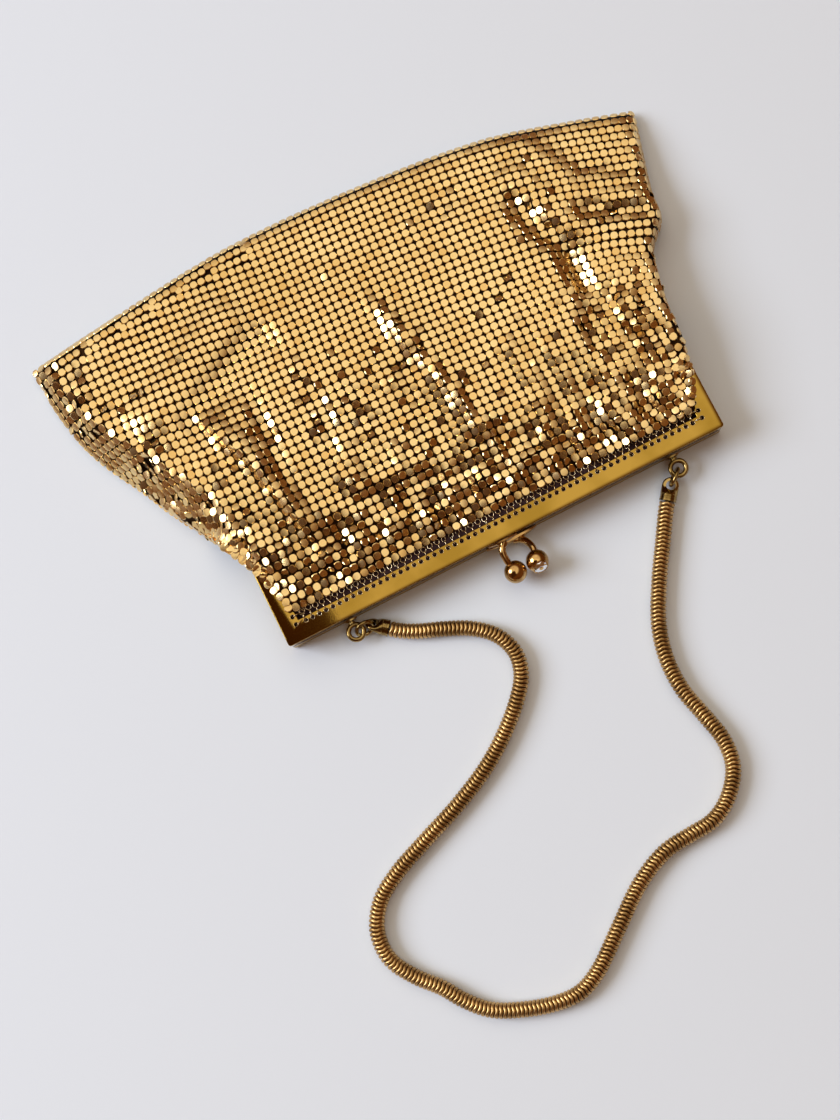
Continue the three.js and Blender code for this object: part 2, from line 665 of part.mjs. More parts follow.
for (const { side, across, toCap, toChain, linkLean, tabLean } of hangers) {
  const eyeletCentre = new THREE.Vector3(across * halfWidth, -eyeletStandoff, eyeletHeight);
  const capHole = eyeletCentre.clone().add(step(toCap, linkSpan)).setZ(capRadius);
  const chainEnd = capHole.clone().add(step(toChain, capLength));
  const link = linkBetween(eyeletCentre, capHole, linkRadius, THREE.MathUtils.degToRad(linkLean));
  const cap = capForm().rotateX(THREE.MathUtils.degToRad(tabLean));
  cap.rotateZ(THREE.MathUtils.degToRad(toChain + 180));
  cap.translate(chainEnd.x, chainEnd.y, chainEnd.z);
  chainEnds.push([chainEnd, chainEnd.clone().add(step(toChain, chainDiameter / 2))]);
  addPiece("eyelet_" + side, eyelet(across * halfWidth), "claspBrass");
  addPiece("jump_link_" + side, link, "claspBrass");
  addPiece("chain_cap_" + side, cap, "chainBrass");
}

// Chain: a tube of the snake chain's outer size along its route, its ends raised a little into the caps
const [leftEnd, rightEnd] = chainEnds;
const onTable = chainRoute.map(
  ({ across, out }) => new THREE.Vector3(across * halfWidth, -out * chainReach, chainDiameter / 2),
);
const chainPath = new THREE.CatmullRomCurve3(
  [...leftEnd, ...onTable, ...rightEnd.toReversed()],
  false,
  "centripetal",
);
const chainSection = roundSection(chainDiameter / 2 / Math.cos(Math.PI / 8), 8);
const chainOptions = { steps: 74, extrudePath: chainPath, bevelEnabled: false };
addPiece("snake_chain", merged(new THREE.ExtrudeGeometry(chainSection, chainOptions)), "chainBrass");

// The part's origin is under the middle of everything, on the table
const extent = new THREE.Box3().setFromObject(purse);
const centre = extent.getCenter(new THREE.Vector3());
purse.position.set(-centre.x, -centre.y, -extent.min.z);

export default purse;
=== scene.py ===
"""A gilt metal mesh purse lying on its back on a pale table, with its snake chain laid out below it.

Lengths are in millimetres on the purse's own axes: x runs along the frame from its middle, y from the
frame's outer face to the bag's bottom edge, and z up from the table. place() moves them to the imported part.
"""

import bpy
import numpy as np
from mathutils import Matrix, Vector


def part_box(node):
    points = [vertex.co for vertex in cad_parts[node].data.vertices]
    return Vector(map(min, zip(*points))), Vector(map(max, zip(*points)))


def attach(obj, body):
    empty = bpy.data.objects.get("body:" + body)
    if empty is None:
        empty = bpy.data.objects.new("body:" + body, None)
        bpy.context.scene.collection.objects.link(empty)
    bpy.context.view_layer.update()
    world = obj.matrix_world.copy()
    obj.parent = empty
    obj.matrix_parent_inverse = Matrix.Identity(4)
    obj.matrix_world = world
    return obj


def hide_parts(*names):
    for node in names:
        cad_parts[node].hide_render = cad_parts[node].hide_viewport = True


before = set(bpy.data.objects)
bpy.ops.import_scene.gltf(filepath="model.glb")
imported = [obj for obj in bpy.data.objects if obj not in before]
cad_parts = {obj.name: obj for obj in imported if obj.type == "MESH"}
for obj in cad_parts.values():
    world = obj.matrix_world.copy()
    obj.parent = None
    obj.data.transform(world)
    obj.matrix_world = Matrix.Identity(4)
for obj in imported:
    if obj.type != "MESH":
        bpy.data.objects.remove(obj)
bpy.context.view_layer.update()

# Camera: held almost straight over the table, turned so that the frame runs up to the right.
jaw_low, jaw_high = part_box("front_jaw")
PURSE_ORIGIN = np.array([(jaw_low.x + jaw_high.x) / 2, jaw_low.y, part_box("back_jaw")[0].z])


def place(points):
    """Points in millimetres on the purse's own axes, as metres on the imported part's axes."""
    return np.asarray(points, float) / 1000 + PURSE_ORIGIN


CAMERA_PLACE = (-19.4, -56.6, 522.2)
CAMERA_RIGHT = (0.89095, -0.44889, -0.06857)
CAMERA_UP = (0.45384, 0.88534, 0.10106)
CAMERA_BACK = (0.01535, -0.12116, 0.99251)

lens = bpy.data.cameras.new("photo_camera")
lens.lens = 53.0
lens.sensor_width = 36.0
camera = bpy.data.objects.new("photo_camera", lens)
turn = Matrix((CAMERA_RIGHT, CAMERA_UP, CAMERA_BACK)).transposed().to_4x4()
camera.matrix_world = Matrix.Translation(Vector(place(CAMERA_PLACE))) @ turn
bpy.context.collection.objects.link(camera)
bpy.context.scene.camera = camera

# Gilt mesh, front: small rounded plates of gilt metal in rows, each tied to its neighbours by rings
# behind it. The cloth of plates hangs from the frame, lies over its legs, and folds as it was laid down.
FRAME_WIDTH = 152.0
FRAME_DEPTH = 12.0
LEG_LENGTH = 33.0
FLANGE_WIDTH = 6.4
FLANGE_TIP = 4.4
PLATE = 0.9
FIT_GAP = 0.3
BAG_DROP = 127.5
BAG_BOTTOM_WIDTH = 213.4
BAG_LEAN = -6.6
MESH_THICKNESS = 1.2
MESH_DROP = 121.0
PLATE_PITCH = 2.68
PLATE_ROWS = 43
PLATE_WIDTH = 2.6
PLATE_LENGTH = 2.62
PLATE_THICKNESS = 0.3
PLATE_SIDES = 12
PLATE_SQUARENESS = 2.75
# The plate's shoulder, where its turned-down rim begins: shares of its half width and of its height
PLATE_SHOULDER = (0.87, 0.8)
# Plates at a row's ends are narrower and those of the hem shorter, by these shares
END_PLATE_WIDTH = 0.86
HEM_PLATE_LENGTH = 0.98
# Plates nearer than this share of their length would crowd each other
CROWDED = 0.72
# How far plates lean, as slopes: the askew ones between two, all others by chance; and their play up and down
ASKEW_LEAN = (0.2, 0.7)
CHANCE_LEAN = 0.018
PLATE_PLAY = 0.03
EDGE_GIVE = 14.0

# Heights of the belly as shares of the frame's depth, and the edges' bends as shares of the bag's size
BELLY_ROWS = np.array([
    (0, 0.99), (0.06, 1.08), (0.18, 1.2), (0.38, 1.22), (0.6, 1.04),
    (0.8, 0.76), (0.91, 0.58), (0.965, 0.46), (0.985, 0.36), (1, 0.17),
])
BOTTOM_EDGE = np.array([
    (-1, 0.941), (-0.72, 0.969), (-0.28, 1), (0.2, 0.982), (0.56, 0.944), (0.79, 0.889), (1, 0.831),
])
LEFT_BOW = np.array([
    (0, 0), (0.1, 0.016), (0.2, 0.034), (0.4, 0.052), (0.5, 0.056), (0.65, 0.069), (0.75, 0.064), (0.87, 0.039), (1, 0),
])
RIGHT_BOW = np.array([
    (0, 0), (0.12, -0.001), (0.23, -0.002), (0.41, -0.022), (0.53, -0.026), (0.6, -0.023),
    (0.675, 0.013), (0.76, 0.004), (1, 0),
])
# Each fold, in millimetres: three points of its line, its rise, and the widths of its left and right flanks
FOLDS = (
    ((14, 12), (7, 50), (-2, 88), 1.2, 4.5, 7.0),
    ((47, 103), (58, 72), (58, 44), -2.6, 8.0, 3.6),
    ((53, 110), (61, 92), (66, 70), 1.5, 3.4, 9.0),
    ((44, 36), (50, 55), (54, 84), 1.2, 7.0, 3.6),
    ((-72, 84), (-60, 56), (-52, 20), 2.3, 9.5, 1.9),
    ((-50, 84), (-54, 60), (-50, 30), -1.3, 3.2, 3.2),
    ((-92, 80), (-64, 96), (-40, 108), 2.2, 9.0, 8.0),
    ((-78, 70), (-56, 86), (-34, 98), -2.3, 7.0, 8.0),
    ((58, 118), (67, 100), (70, 84), 1.0, 5.0, 6.0),
    ((66, 86), (80, 77), (95, 70), -1.6, 2.4, 3.4),
    ((68, 84), (80, 80), (95, 78), 0.7, 3.0, 2.4),
    ((72, 98), (84, 91), (97, 84), -0.9, 2.2, 3.0),
    ((73, 64), (69, 51), (66, 36), 0.9, 7.0, 5.5),
    ((-50, 24), (10, 25), (54, 28), -0.9, 5.0, 5.0),
    ((-41, 44), (-33, 35), (-6, 31), 1.2, 2.2, 2.8),
    ((24, 14), (30, 38), (27, 62), 0.8, 3.0, 2.4),
    ((-30, 14), (-34, 34), (-31, 58), 0.9, 2.6, 2.2),
)
# Creases only a plate or two wide, as the folds are given
CREASES = (
    ((14, 8), (6, 48), (-6, 97), 1.4, 2.3, 1.3),
    ((-71, 82), (-60, 55), (-53, 24), 1.2, 4.4, 0.9),
    ((49, 103), (56, 92), (61, 80), 1.1, 2.2, 1.6),
    ((59, 82), (59, 62), (61, 46), -1.0, 1.6, 1.4),
    ((36, 14), (40, 40), (37, 60), 0.5, 1.8, 1.3),
    ((-18, 10), (-21, 30), (-17, 44), 0.8, 1.6, 1.3),
)
# Where the cloth is crumpled: the patch's middle, its reach each way, and the share of plates that stand askew
CRUMPLED = (
    (-54, 60, 4, 15, 0.5), (-90, 70, 6, 13, 0.7), (-77, 44, 7, 13, 0.8), (-70, 22, 6, 9, 0.7),
    (-104, 103, 6, 12, 0.7), (-32, 60, 13, 15, 0.28), (-8, 50, 10, 20, 0.34), (53, 97, 5, 6, 0.5),
    (61, 77, 3.5, 11, 0.35), (63, 45, 10, 11, 0.8), (56, 53, 7, 9, 0.6), (84, 76, 10, 2.6, 0.35),
    (68, 20, 8, 11, 0.6), (20, 104, 4, 1.6, 0.5), (33, 102, 4, 1.6, 0.7), (10, 18, 12, 14, 0.35),
    (-40, 22, 16, 9, 0.3), (30, 58, 12, 14, 0.06),
)
# How far in from the left edge the cloth turns down, in millimetres, from the frame to the bottom
LEFT_ROLL = np.array([
    (0.1, 9), (0.2, 12), (0.3, 14), (0.44, 15), (0.57, 13.2), (0.67, 11.5), (0.8, 8.5), (0.87, 7), (1, 5),
])
# What share of the left edge's height falls straight down beside the frame, before the slope begins
LEFT_DROP = 0.25
# How sharply the sheet drops at its right edge
RIGHT_DROP_POWER = 80
# Where the first, last and hem rows lie, as shares of the way down, and how many rows above the hem give to meet it
FIRST_ROW = 0.025
LAST_ROW = 0.9677
HEM_ROW = 0.99
HEM_GIVE = 3.5
# The cloth's gathers along the bar: how many, how high, and how far down they reach as a share
GATHERS = 9
GATHER_RISE = 0.432
GATHER_REACH = 0.3
# Dents in millimetres: along the frame, everywhere, and in the crumpled patches
FRAME_DENTS = 0.75
EVEN_DENTS = 0.07
PATCH_DENTS = 0.9
# Where the sheet rises to clear the legs, in from their inner edge, and where it falls again past their ends
LEG_RISE_START = 4.5
LEG_RISE_END = 0.6
LEG_FALL_START = 2
LEG_FALL_END = 13
# The share of plates that stand askew: everywhere, along the frame, and the most at any place
EVEN_ASKEW = 0.012
FRAME_ASKEW = 0.6
MOST_ASKEW = 0.8


def smooth_step(value, low, high):
    """0 below low and 1 above high, with s * s * (3 - 2 * s) between them."""
    share = np.clip((value - low) / (high - low), 0, 1)
    return share * share * (3 - 2 * share)


def read_table(rows, at):
    """A smooth value from a table: a cubic between neighbouring rows, with slopes taken across each row."""
    keys, values = rows[:, 0], rows[:, 1]
    at = np.clip(at, keys[0], keys[-1])
    i = np.clip(np.searchsorted(keys, at, side="right") - 1, 0, len(keys) - 2)
    before, after = np.maximum(i - 1, 0), np.minimum(i + 2, len(keys) - 1)
    span = keys[i + 1] - keys[i]
    slope_a = (values[i + 1] - values[before]) / (keys[i + 1] - keys[before]) * span
    slope_b = (values[after] - values[i]) / (keys[after] - keys[i]) * span
    s = (at - keys[i]) / span
    rest = values[i + 1] - values[i]
    return values[i] + s * (slope_a + s * (3 * rest - 2 * slope_a - slope_b + s * (slope_a + slope_b - 2 * rest)))


def curve_through(knots, steps):
    """A smooth line through knots whose bends don't overshoot, as many short steps between each two."""
    knots = np.asarray(knots, float)
    ends = np.vstack([2 * knots[0] - knots[1], knots, 2 * knots[-1] - knots[-2]])
    p0, p1, p2, p3 = (ends[k:len(ends) - 3 + k, None] for k in range(4))
    d0, d1, d2 = (np.sqrt(np.linalg.norm(b - a, axis=-1, keepdims=True)) for a, b in ((p0, p1), (p1, p2), (p2, p3)))
    t1 = ((p1 - p0) / d0 - (p2 - p0) / (d0 + d1) + (p2 - p1) / d1) * d1
    t2 = ((p2 - p1) / d1 - (p3 - p1) / (d1 + d2) + (p3 - p2) / d2) * d1
    s = np.linspace(0, 1, steps, endpoint=False)[None, :, None]
    line = p1 + s * (t1 + s * (3 * (p2 - p1) - 2 * t1 - t2 + s * (2 * (p1 - p2) + t1 + t2)))
    return np.vstack([line.reshape(-1, knots.shape[1]), knots[-1:]])


def point_along(line, share):
    """The points at given shares of a line's length."""
    reach = np.concatenate([[0], np.cumsum(np.linalg.norm(np.diff(line, axis=0), axis=1))])
    return np.stack([np.interp(share * reach[-1], reach, line[:, k]) for k in range(line.shape[1])], -1)


# What share of the top row's line each share of the bottom row hangs from: the bar's columns hang straight down
TOP_SHARES = np.array([(0, 0), (0.2, 0.14), (0.53, 0.52), (0.86, 0.9), (1, 1)])
INNER_X = FRAME_WIDTH / 2 - FLANGE_WIDTH - 2 * FIT_GAP
MESH_INSET = FLANGE_WIDTH + 2 * FIT_GAP
OVERHANG = FRAME_WIDTH / 2 + MESH_THICKNESS


def hanging_line(end_x, corner_x, left_leave, left_end, right_leave, right_end):
    """The line that the top row hangs from: from one hinge down its leg, along the bar and up the other."""
    return np.array([
        (-end_x, left_end), (-corner_x, left_leave), (-corner_x, MESH_INSET),
        (corner_x, MESH_INSET), (corner_x, right_leave), (end_x, right_end),
    ])


front_top = hanging_line(
    FRAME_WIDTH / 2 - 1.4, INNER_X + 1.2,
    MESH_INSET + FIT_GAP, LEG_LENGTH - 1.5, MESH_INSET + FIT_GAP, LEG_LENGTH * 0.6,
)
back_top = hanging_line(
    OVERHANG, INNER_X, LEG_LENGTH + MESH_INSET / 4, LEG_LENGTH + MESH_INSET / 3,
    LEG_LENGTH + MESH_INSET / 4, LEG_LENGTH + MESH_INSET / 3,
)
bottom_line = curve_through(BOTTOM_EDGE * (BAG_BOTTOM_WIDTH / 2, BAG_DROP) + (BAG_LEAN, 0), 60)


def plan_of(top, across, down):
    """A place on the sheet seen from above: rows keep their pitch up from the bottom and bunch at the hinges."""
    high = point_along(top, read_table(TOP_SHARES, across))
    low = point_along(bottom_line, across)
    spare = np.maximum(MESH_DROP / np.linalg.norm(high - low, axis=-1), 1)
    up = 1 - down
    share = (up * spare - (spare - 1) * up**3)[..., None]
    x, y = np.moveaxis(low + (high - low) * share, -1, 0)
    x = x - read_table(LEFT_BOW, down) * BAG_DROP * (1 - across) ** 3
    return x + read_table(RIGHT_BOW, down) * BAG_DROP * across**3, y


def fold_height(fold, x, y):
    """What one fold adds: a rounded ridge or trough along its bent line, dying out at both ends."""
    line = np.array(fold[:3], float)
    best = np.full(x.shape, np.inf)
    along, is_left = np.zeros(x.shape), np.zeros(x.shape, bool)
    for part in (0, 1):
        run = line[part + 1] - line[part]
        off_x, off_y = x - line[part, 0], y - line[part, 1]
        share = np.clip((off_x * run[0] + off_y * run[1]) / (run @ run), 0, 1)
        distance = np.hypot(off_x - share * run[0], off_y - share * run[1])
        nearer = distance < best
        best = np.where(nearer, distance, best)
        along = np.where(nearer, (part + share) / 2, along)
        is_left = np.where(nearer, run[0] * off_y - run[1] * off_x > 0, is_left)
    flank = np.where(is_left, fold[4], fold[5])
    taper = smooth_step(np.minimum(along, 1 - along), 0, 0.2)
    return fold[3] * taper * np.exp(-((best / flank) ** 2))


def crumple(x, y, seed, shortest, longest, turn=np.pi / 2):
    """Small irregular dents: many waves of random heading, length and phase, added together."""
    random = np.random.default_rng(seed)
    total = np.zeros(x.shape)
    for _ in range(16):
        heading, phase = random.uniform(-turn, turn), random.uniform(0, 2 * np.pi)
        wave = 2 * np.pi / random.uniform(shortest, longest)
        total += np.cos(wave * (x * np.cos(heading) + y * np.sin(heading)) + phase)
    return total / 4


def crumpled(x, y):
    """The share of plates that stand askew at a place: few in the flat, many along the frame and in patches."""
    share = EVEN_ASKEW + FRAME_ASKEW * (1 - smooth_step(y, 15, 38)) * (1 - smooth_step(np.abs(x), 68, 76))
    for middle_x, middle_y, reach_x, reach_y, amount in CRUMPLED:
        share = share + amount * np.exp(-(((x - middle_x) / reach_x) ** 2) - ((y - middle_y) / reach_y) ** 2)
    return np.minimum(share, MOST_ASKEW)


def front_surface(across, down):
    """The middle of the front sheet: a belly over the frame, turned down at its left, with folds and dents.

    The height is rim + (belly - rim) * left share * right share, plus the folds, the gathers along the bar and
    the dents, and is never less than it takes to clear the legs.
    """
    x, y = plan_of(front_top, across, down)
    rim_height = MESH_THICKNESS + 2 * FIT_GAP
    crown = read_table(BELLY_ROWS, down) * FRAME_DEPTH
    left_edge = plan_of(front_top, np.zeros(down.shape), down)[0]
    left_share = np.clip((x - left_edge) / read_table(LEFT_ROLL, down), 0, 1)
    upright = LEFT_DROP * (1 - smooth_step(down, 0.3, 0.6)) * smooth_step(x - left_edge, 0, 1.5)
    left_share = left_share + upright * (1 - left_share)
    right_share = 1 - np.clip(2 * across - 1, 0, 1) ** RIGHT_DROP_POWER
    z = rim_height + (crown - rim_height) * left_share * right_share
    from_rim = np.minimum(np.minimum(across, 1 - across), 1 - down)
    from_top = smooth_step(down, 0, 0.12)
    relief = sum(fold_height(fold, x, y) for fold in FOLDS + CREASES)
    z = z + relief * smooth_step(from_rim, 0.01, 0.05) * from_top
    gather = np.cos(2 * np.pi * GATHERS * across) * (1 - smooth_step(down, 0.1, GATHER_REACH))
    z = z + GATHER_RISE * gather * from_top
    near_frame = 1 - smooth_step(y, 14, 36)
    unrest = smooth_step(from_rim, 0.0, 0.05) * smooth_step(down, 0.0, 0.1)
    z = z + FRAME_DENTS * near_frame * unrest * crumple(x, y, seed=4, shortest=7, longest=15, turn=0.5)
    z = z + (EVEN_DENTS + PATCH_DENTS * np.minimum(crumpled(x, y), 0.55)) * unrest * crumple(
        x, y, seed=9, shortest=8, longest=20,
    )
    beside_leg = smooth_step(np.abs(x), INNER_X - LEG_RISE_START, INNER_X - LEG_RISE_END)
    before_end = 1 - smooth_step(y, LEG_LENGTH + LEG_FALL_START, LEG_LENGTH + LEG_FALL_END)
    over_leg = FRAME_DEPTH + MESH_THICKNESS / 2 + 3 * FIT_GAP
    z = z + np.maximum(over_leg - z, 0) * beside_leg * before_end
    return np.stack([x, y, z], -1)


def mesh_object(name, points, face_groups, smooth=()):
    """A mesh from points in millimetres and arrays of faces, one array for each number of corners."""
    data = bpy.data.meshes.new(name)
    corners = np.concatenate([faces.ravel() for faces in face_groups])
    counts = np.concatenate([np.full(len(faces), faces.shape[1]) for faces in face_groups])
    data.vertices.add(len(points))
    data.vertices.foreach_set("co", place(points).astype(np.float32).ravel())
    data.loops.add(len(corners))
    data.loops.foreach_set("vertex_index", corners.astype(np.int32))
    data.polygons.add(len(counts))
    data.polygons.foreach_set("loop_start", np.concatenate([[0], np.cumsum(counts)[:-1]]).astype(np.int32))
    data.update(calc_edges=True)
    shaded = np.concatenate([
        np.full(len(faces), i in smooth) for i, faces in enumerate(face_groups)
    ])
    data.polygons.foreach_set("use_smooth", shaded)
    piece = bpy.data.objects.new(name, data)
    bpy.context.collection.objects.link(piece)
    return piece


def plate_form(sides, squareness):
    """One plate: a domed rounded square with a turned-down rim, of half width 1 and height 1."""
    angle = (np.arange(sides) + 0.5) * 2 * np.pi / sides
    ring = np.stack([np.cos(angle), np.sin(angle)], -1)
    ring = ring / (np.abs(ring) ** squareness).sum(-1, keepdims=True) ** (1 / squareness)
    shoulder_width, shoulder_height = PLATE_SHOULDER
    top = np.column_stack([ring * shoulder_width, np.full(sides, shoulder_height)])
    rim = np.column_stack([ring, np.full(sides, 0.0)])
    i = np.arange(sides)
    after = (i + 1) % sides
    dome = np.stack([i, after, np.full(sides, 2 * sides)], -1)
    slope = np.stack([i, i + sides, after + sides, after], -1)
    return np.vstack([top, rim, (0, 0, 1)]), [dome, slope, (i[::-1] + sides)[None]]


def copies(form, faces, centres, axes):
    """Points and faces of a form set down many times, each with its own centre and three axes."""
    points = centres[:, None] + np.einsum("vk,nkc->nvc", form, axes)
    shift = (np.arange(len(centres)) * len(form))[:, None, None]
    return points.reshape(-1, 3), [(group[None] + shift).reshape(-1, group.shape[1]) for group in faces]


def unit(vectors):
    """The same directions at length 1."""
    return vectors / np.linalg.norm(vectors, axis=-1, keepdims=True)


def spaced_along_rows(surface, down):
    """Places at one pitch along each row, measured over the folds from the middle column to both sides.

    down has a line for each row. Near its ends a row's pitch gives a little, so that its last plate meets the edge.
    """
    fine = np.linspace(0, 1, down.shape[1])
    step = np.arange(-50, 50) + 0.5
    across, drop, place_in = [], [], []
    for line in down:
        reach = np.linalg.norm(np.diff(surface(fine, line), axis=0), axis=1)
        reach = np.concatenate([[0], np.cumsum(reach)])
        middle = np.interp(0.5, fine, reach)
        length = np.where(step < 0, middle, reach[-1] - middle)
        count = np.round(length / PLATE_PITCH)
        spot = np.abs(step) * PLATE_PITCH
        pull = smooth_step(spot, count * PLATE_PITCH - EDGE_GIVE, count * PLATE_PITCH)
        spot = middle + np.sign(step) * (spot + (length - count * PLATE_PITCH) * pull)
        across.append(np.interp(spot, reach, fine))
        drop.append(np.interp(across[-1], fine, line))
        place_in.append(count - np.abs(step))
    return np.array(across), np.array(drop), np.array(place_in)


def thinned(points):
    """Which rows of each column to keep, from the bottom up, so that no two crowd each other."""
    kept = np.ones(points.shape[:2], bool)
    last = points[-1]
    for row in range(len(points) - 2, -1, -1):
        kept[row] = np.linalg.norm(points[row] - last, axis=-1) > CROWDED * PLATE_LENGTH
        last = np.where(kept[row][:, None], points[row], last)
    return kept


def plate_sheet(name, surface, side, spread, askew, seed):
    """Rows of plates on a surface at an even pitch, most lying flat in it and some standing askew.

    The rows stand further apart towards the left by spread, so that fewer fit there, and the last few of each
    column give a little, so that a whole number of them meets the row of the hem.
    """
    random = np.random.default_rng(seed)
    fine = np.linspace(0, 1, 400)
    stretch = 1 + spread * (1 - smooth_step(fine, 0, 0.45))
    row_pitch = (LAST_ROW - FIRST_ROW) / (PLATE_ROWS - 1)
    number = np.arange(PLATE_ROWS)[:, None]
    fitting = np.round((HEM_ROW / stretch - FIRST_ROW) / row_pitch)
    spare = HEM_ROW - (FIRST_ROW + fitting * row_pitch) * stretch
    down = (FIRST_ROW + number * row_pitch) * stretch + spare * smooth_step(number, fitting - HEM_GIVE, fitting)
    down = np.vstack([np.minimum(down, HEM_ROW), np.full((1, len(fine)), HEM_ROW)])
    across, drop, place_in = spaced_along_rows(surface, down)
    is_hem = np.broadcast_to((np.arange(len(down)) == PLATE_ROWS)[:, None], drop.shape)
    shown = (place_in > 0) & (is_hem | thinned(surface(across, drop)))
    across, drop, place_in, is_hem = across[shown], drop[shown], place_in[shown], is_hem[shown]
    step_across, step_down = 0.005, 0.4 / PLATE_ROWS
    centre = surface(across, drop)
    first = unit(surface(across + step_across, drop) - surface(across - step_across, drop))
    along_column = surface(across, np.minimum(drop + step_down, 1)) - surface(across, drop - step_down)
    normal = unit(np.cross(first, along_column)) * side
    second = np.cross(normal, first)
    count = len(centre)
    share = askew(centre[:, 0], centre[:, 1])
    tilted = random.uniform(size=count) < share
    lean = np.where(tilted, random.uniform(*ASKEW_LEAN, count), random.normal(0, CHANCE_LEAN, count))
    heading = random.uniform(0, 2 * np.pi, count)
    first = unit(first + (lean * np.cos(heading))[:, None] * normal)
    second = unit(second + (lean * np.sin(heading))[:, None] * normal)
    normal = np.cross(first, second)
    width = PLATE_WIDTH * np.where(place_in < 1, END_PLATE_WIDTH, 1.0)[:, None]
    length = PLATE_LENGTH * np.where(is_hem, HEM_PLATE_LENGTH, np.interp(across, fine, stretch) ** 0.8)[:, None]
    centre = centre + random.normal(0, PLATE_PLAY, (count, 1)) * normal
    axes = np.stack([first * width / 2, second * length / 2, normal * PLATE_THICKNESS], 1)
    form, faces = plate_form(PLATE_SIDES, PLATE_SQUARENESS)
    piece = mesh_object(name, *copies(form, faces, centre, axes))
    soften(piece, 30)
    tone = np.repeat(random.uniform(0, 1, count), len(form)).astype(np.float32)
    piece.data.attributes.new("plate_tone", "FLOAT", "POINT").data.foreach_set("value", tone)
    return piece


def soften(piece, angle=38):
    """Smooths a piece's shading, except over edges sharper than an angle in degrees."""
    piece.data.polygons.foreach_set("use_smooth", np.ones(len(piece.data.polygons), bool))
    piece.data.set_sharp_from_angle(angle=np.radians(angle))


def paint(code):
    """A colour given as a hex code on the screen's scale, as the linear colour that shaders take."""
    channels = np.array([int(code[k:k + 2], 16) for k in (1, 3, 5)]) / 255
    linear = np.where(channels <= 0.04045, channels / 12.92, ((channels + 0.055) / 1.055) ** 2.4)
    return (*linear, 1.0)


def add_node(tree, kind, links=(), **values):
    """A shader node with values set on its sockets or settings, and links given as (socket, source)."""
    made = tree.nodes.new("ShaderNode" + kind)
    for key, value in values.items():
        if key in made.bl_rna.properties:
            setattr(made, key, value)
        else:
            made.inputs[key.replace("_", " ")].default_value = value
    for socket, source in links:
        tree.links.new(source, made.inputs[socket])
    return made


def new_material(name, **values):
    """A material with values set on its shader's sockets, its node tree and its shader."""
    material = bpy.data.materials.new(name)
    material.use_nodes = True
    shader = material.node_tree.nodes["Principled BSDF"]
    for key, value in values.items():
        shader.inputs[key.replace("_", " ")].default_value = value
    return material, material.node_tree, shader


def metal(name, light, dark, roughness, spread, patch, scratch, relief=0.12):
    """Polished brass or gilding: its colour and polish vary in soft patches, with fine bumps over them.

    patch and scratch are the sizes of the patches and the bumps in millimetres.
    """
    material, tree, shader = new_material(name, Metallic=1.0)
    place_on = add_node(tree, "TexCoord").outputs["Object"]
    cloud = add_node(tree, "TexNoise", [("Vector", place_on)], Scale=1000 / patch, Detail=3.0).outputs["Fac"]
    ramp = add_node(tree, "ValToRGB", [("Fac", cloud)])
    ramp.color_ramp.elements[0].position = 0.36
    ramp.color_ramp.elements[0].color = paint(dark)
    ramp.color_ramp.elements[1].position = 0.64
    ramp.color_ramp.elements[1].color = paint(light)
    tree.links.new(ramp.outputs["Color"], shader.inputs["Base Color"])
    polish = add_node(
        tree, "MapRange", [("Value", cloud)],
        From_Min=0.3, From_Max=0.7, To_Min=roughness + spread, To_Max=roughness,
    )
    tree.links.new(polish.outputs["Result"], shader.inputs["Roughness"])
    grain = add_node(tree, "TexNoise", [("Vector", place_on)], Scale=1000 / scratch, Detail=2.0).outputs["Fac"]
    bump = add_node(tree, "Bump", [("Height", grain)], Strength=relief, Distance=0.00005)
    tree.links.new(bump.outputs["Normal"], shader.inputs["Normal"])
    return material


# Gilt plates: pale gold over brass, each plate a touch deeper or paler and duller or brighter than the next
gilt = metal("gilt_plates", "#eccf96", "#e2c184", roughness=0.2, spread=0.06, patch=24.0, scratch=0.8)
gilt_tree = gilt.node_tree
gilt_shader = gilt_tree.nodes["Principled BSDF"]
tone = add_node(gilt_tree, "Attribute", attribute_name="plate_tone").outputs["Fac"]
deeper = add_node(gilt_tree, "ValToRGB", [("Fac", tone)])
deeper.color_ramp.elements[0].color = paint("#ead6ae")
deeper.color_ramp.elements[1].color = paint("#ffffff")
deeper.color_ramp.elements[1].position = 0.3
plain_colour = gilt_shader.inputs["Base Color"].links[0].from_socket
tinted = add_node(gilt_tree, "Mix", data_type="RGBA", blend_type="MULTIPLY")
tinted.inputs["Factor"].default_value = 0.6
gilt_tree.links.new(plain_colour, tinted.inputs["A"])
gilt_tree.links.new(deeper.outputs["Color"], tinted.inputs["B"])
gilt_tree.links.new(tinted.outputs["Result"], gilt_shader.inputs["Base Color"])

front_plates = plate_sheet("mesh_plates_front", front_surface, side=1, spread=0.16, askew=crumpled, seed=11)
front_plates.data.materials.append(gilt)
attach(front_plates, "root")
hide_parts("mesh_front_panel")

# Gilt mesh, back: the same cloth of gilt plates, linked to the front one at its sides and foot. It hangs from
# the back jaw, lies flat on the table, and is seen only from below and at the edges.


def back_surface(across, down):
    """The middle of the back sheet: flat on the table, drawn in between the legs so that it clears them."""
    x, y = plan_of(back_top, across, down)
    beside_legs = 1 - smooth_step(y, LEG_LENGTH + FIT_GAP, LEG_LENGTH + MESH_INSET)
    beyond = np.maximum(np.abs(x) - INNER_X + MESH_INSET, 0)
    x = x - np.sign(x) * beyond * beside_legs * 0.5
    return np.stack([x, y, np.full(x.shape, MESH_THICKNESS / 2)], -1)


back_plates = plate_sheet("mesh_plates_back", back_surface, side=-1, spread=0.0, askew=lambda x, y: 0 * x, seed=12)
back_plates.data.materials.append(gilt)
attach(back_plates, "root")
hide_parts("mesh_back_panel")

# Ring layer: the brass rings behind the plates, which the plates' prongs are bent round. They close the gaps
# between the plates and are modelled as one thin sheet behind each cloth.


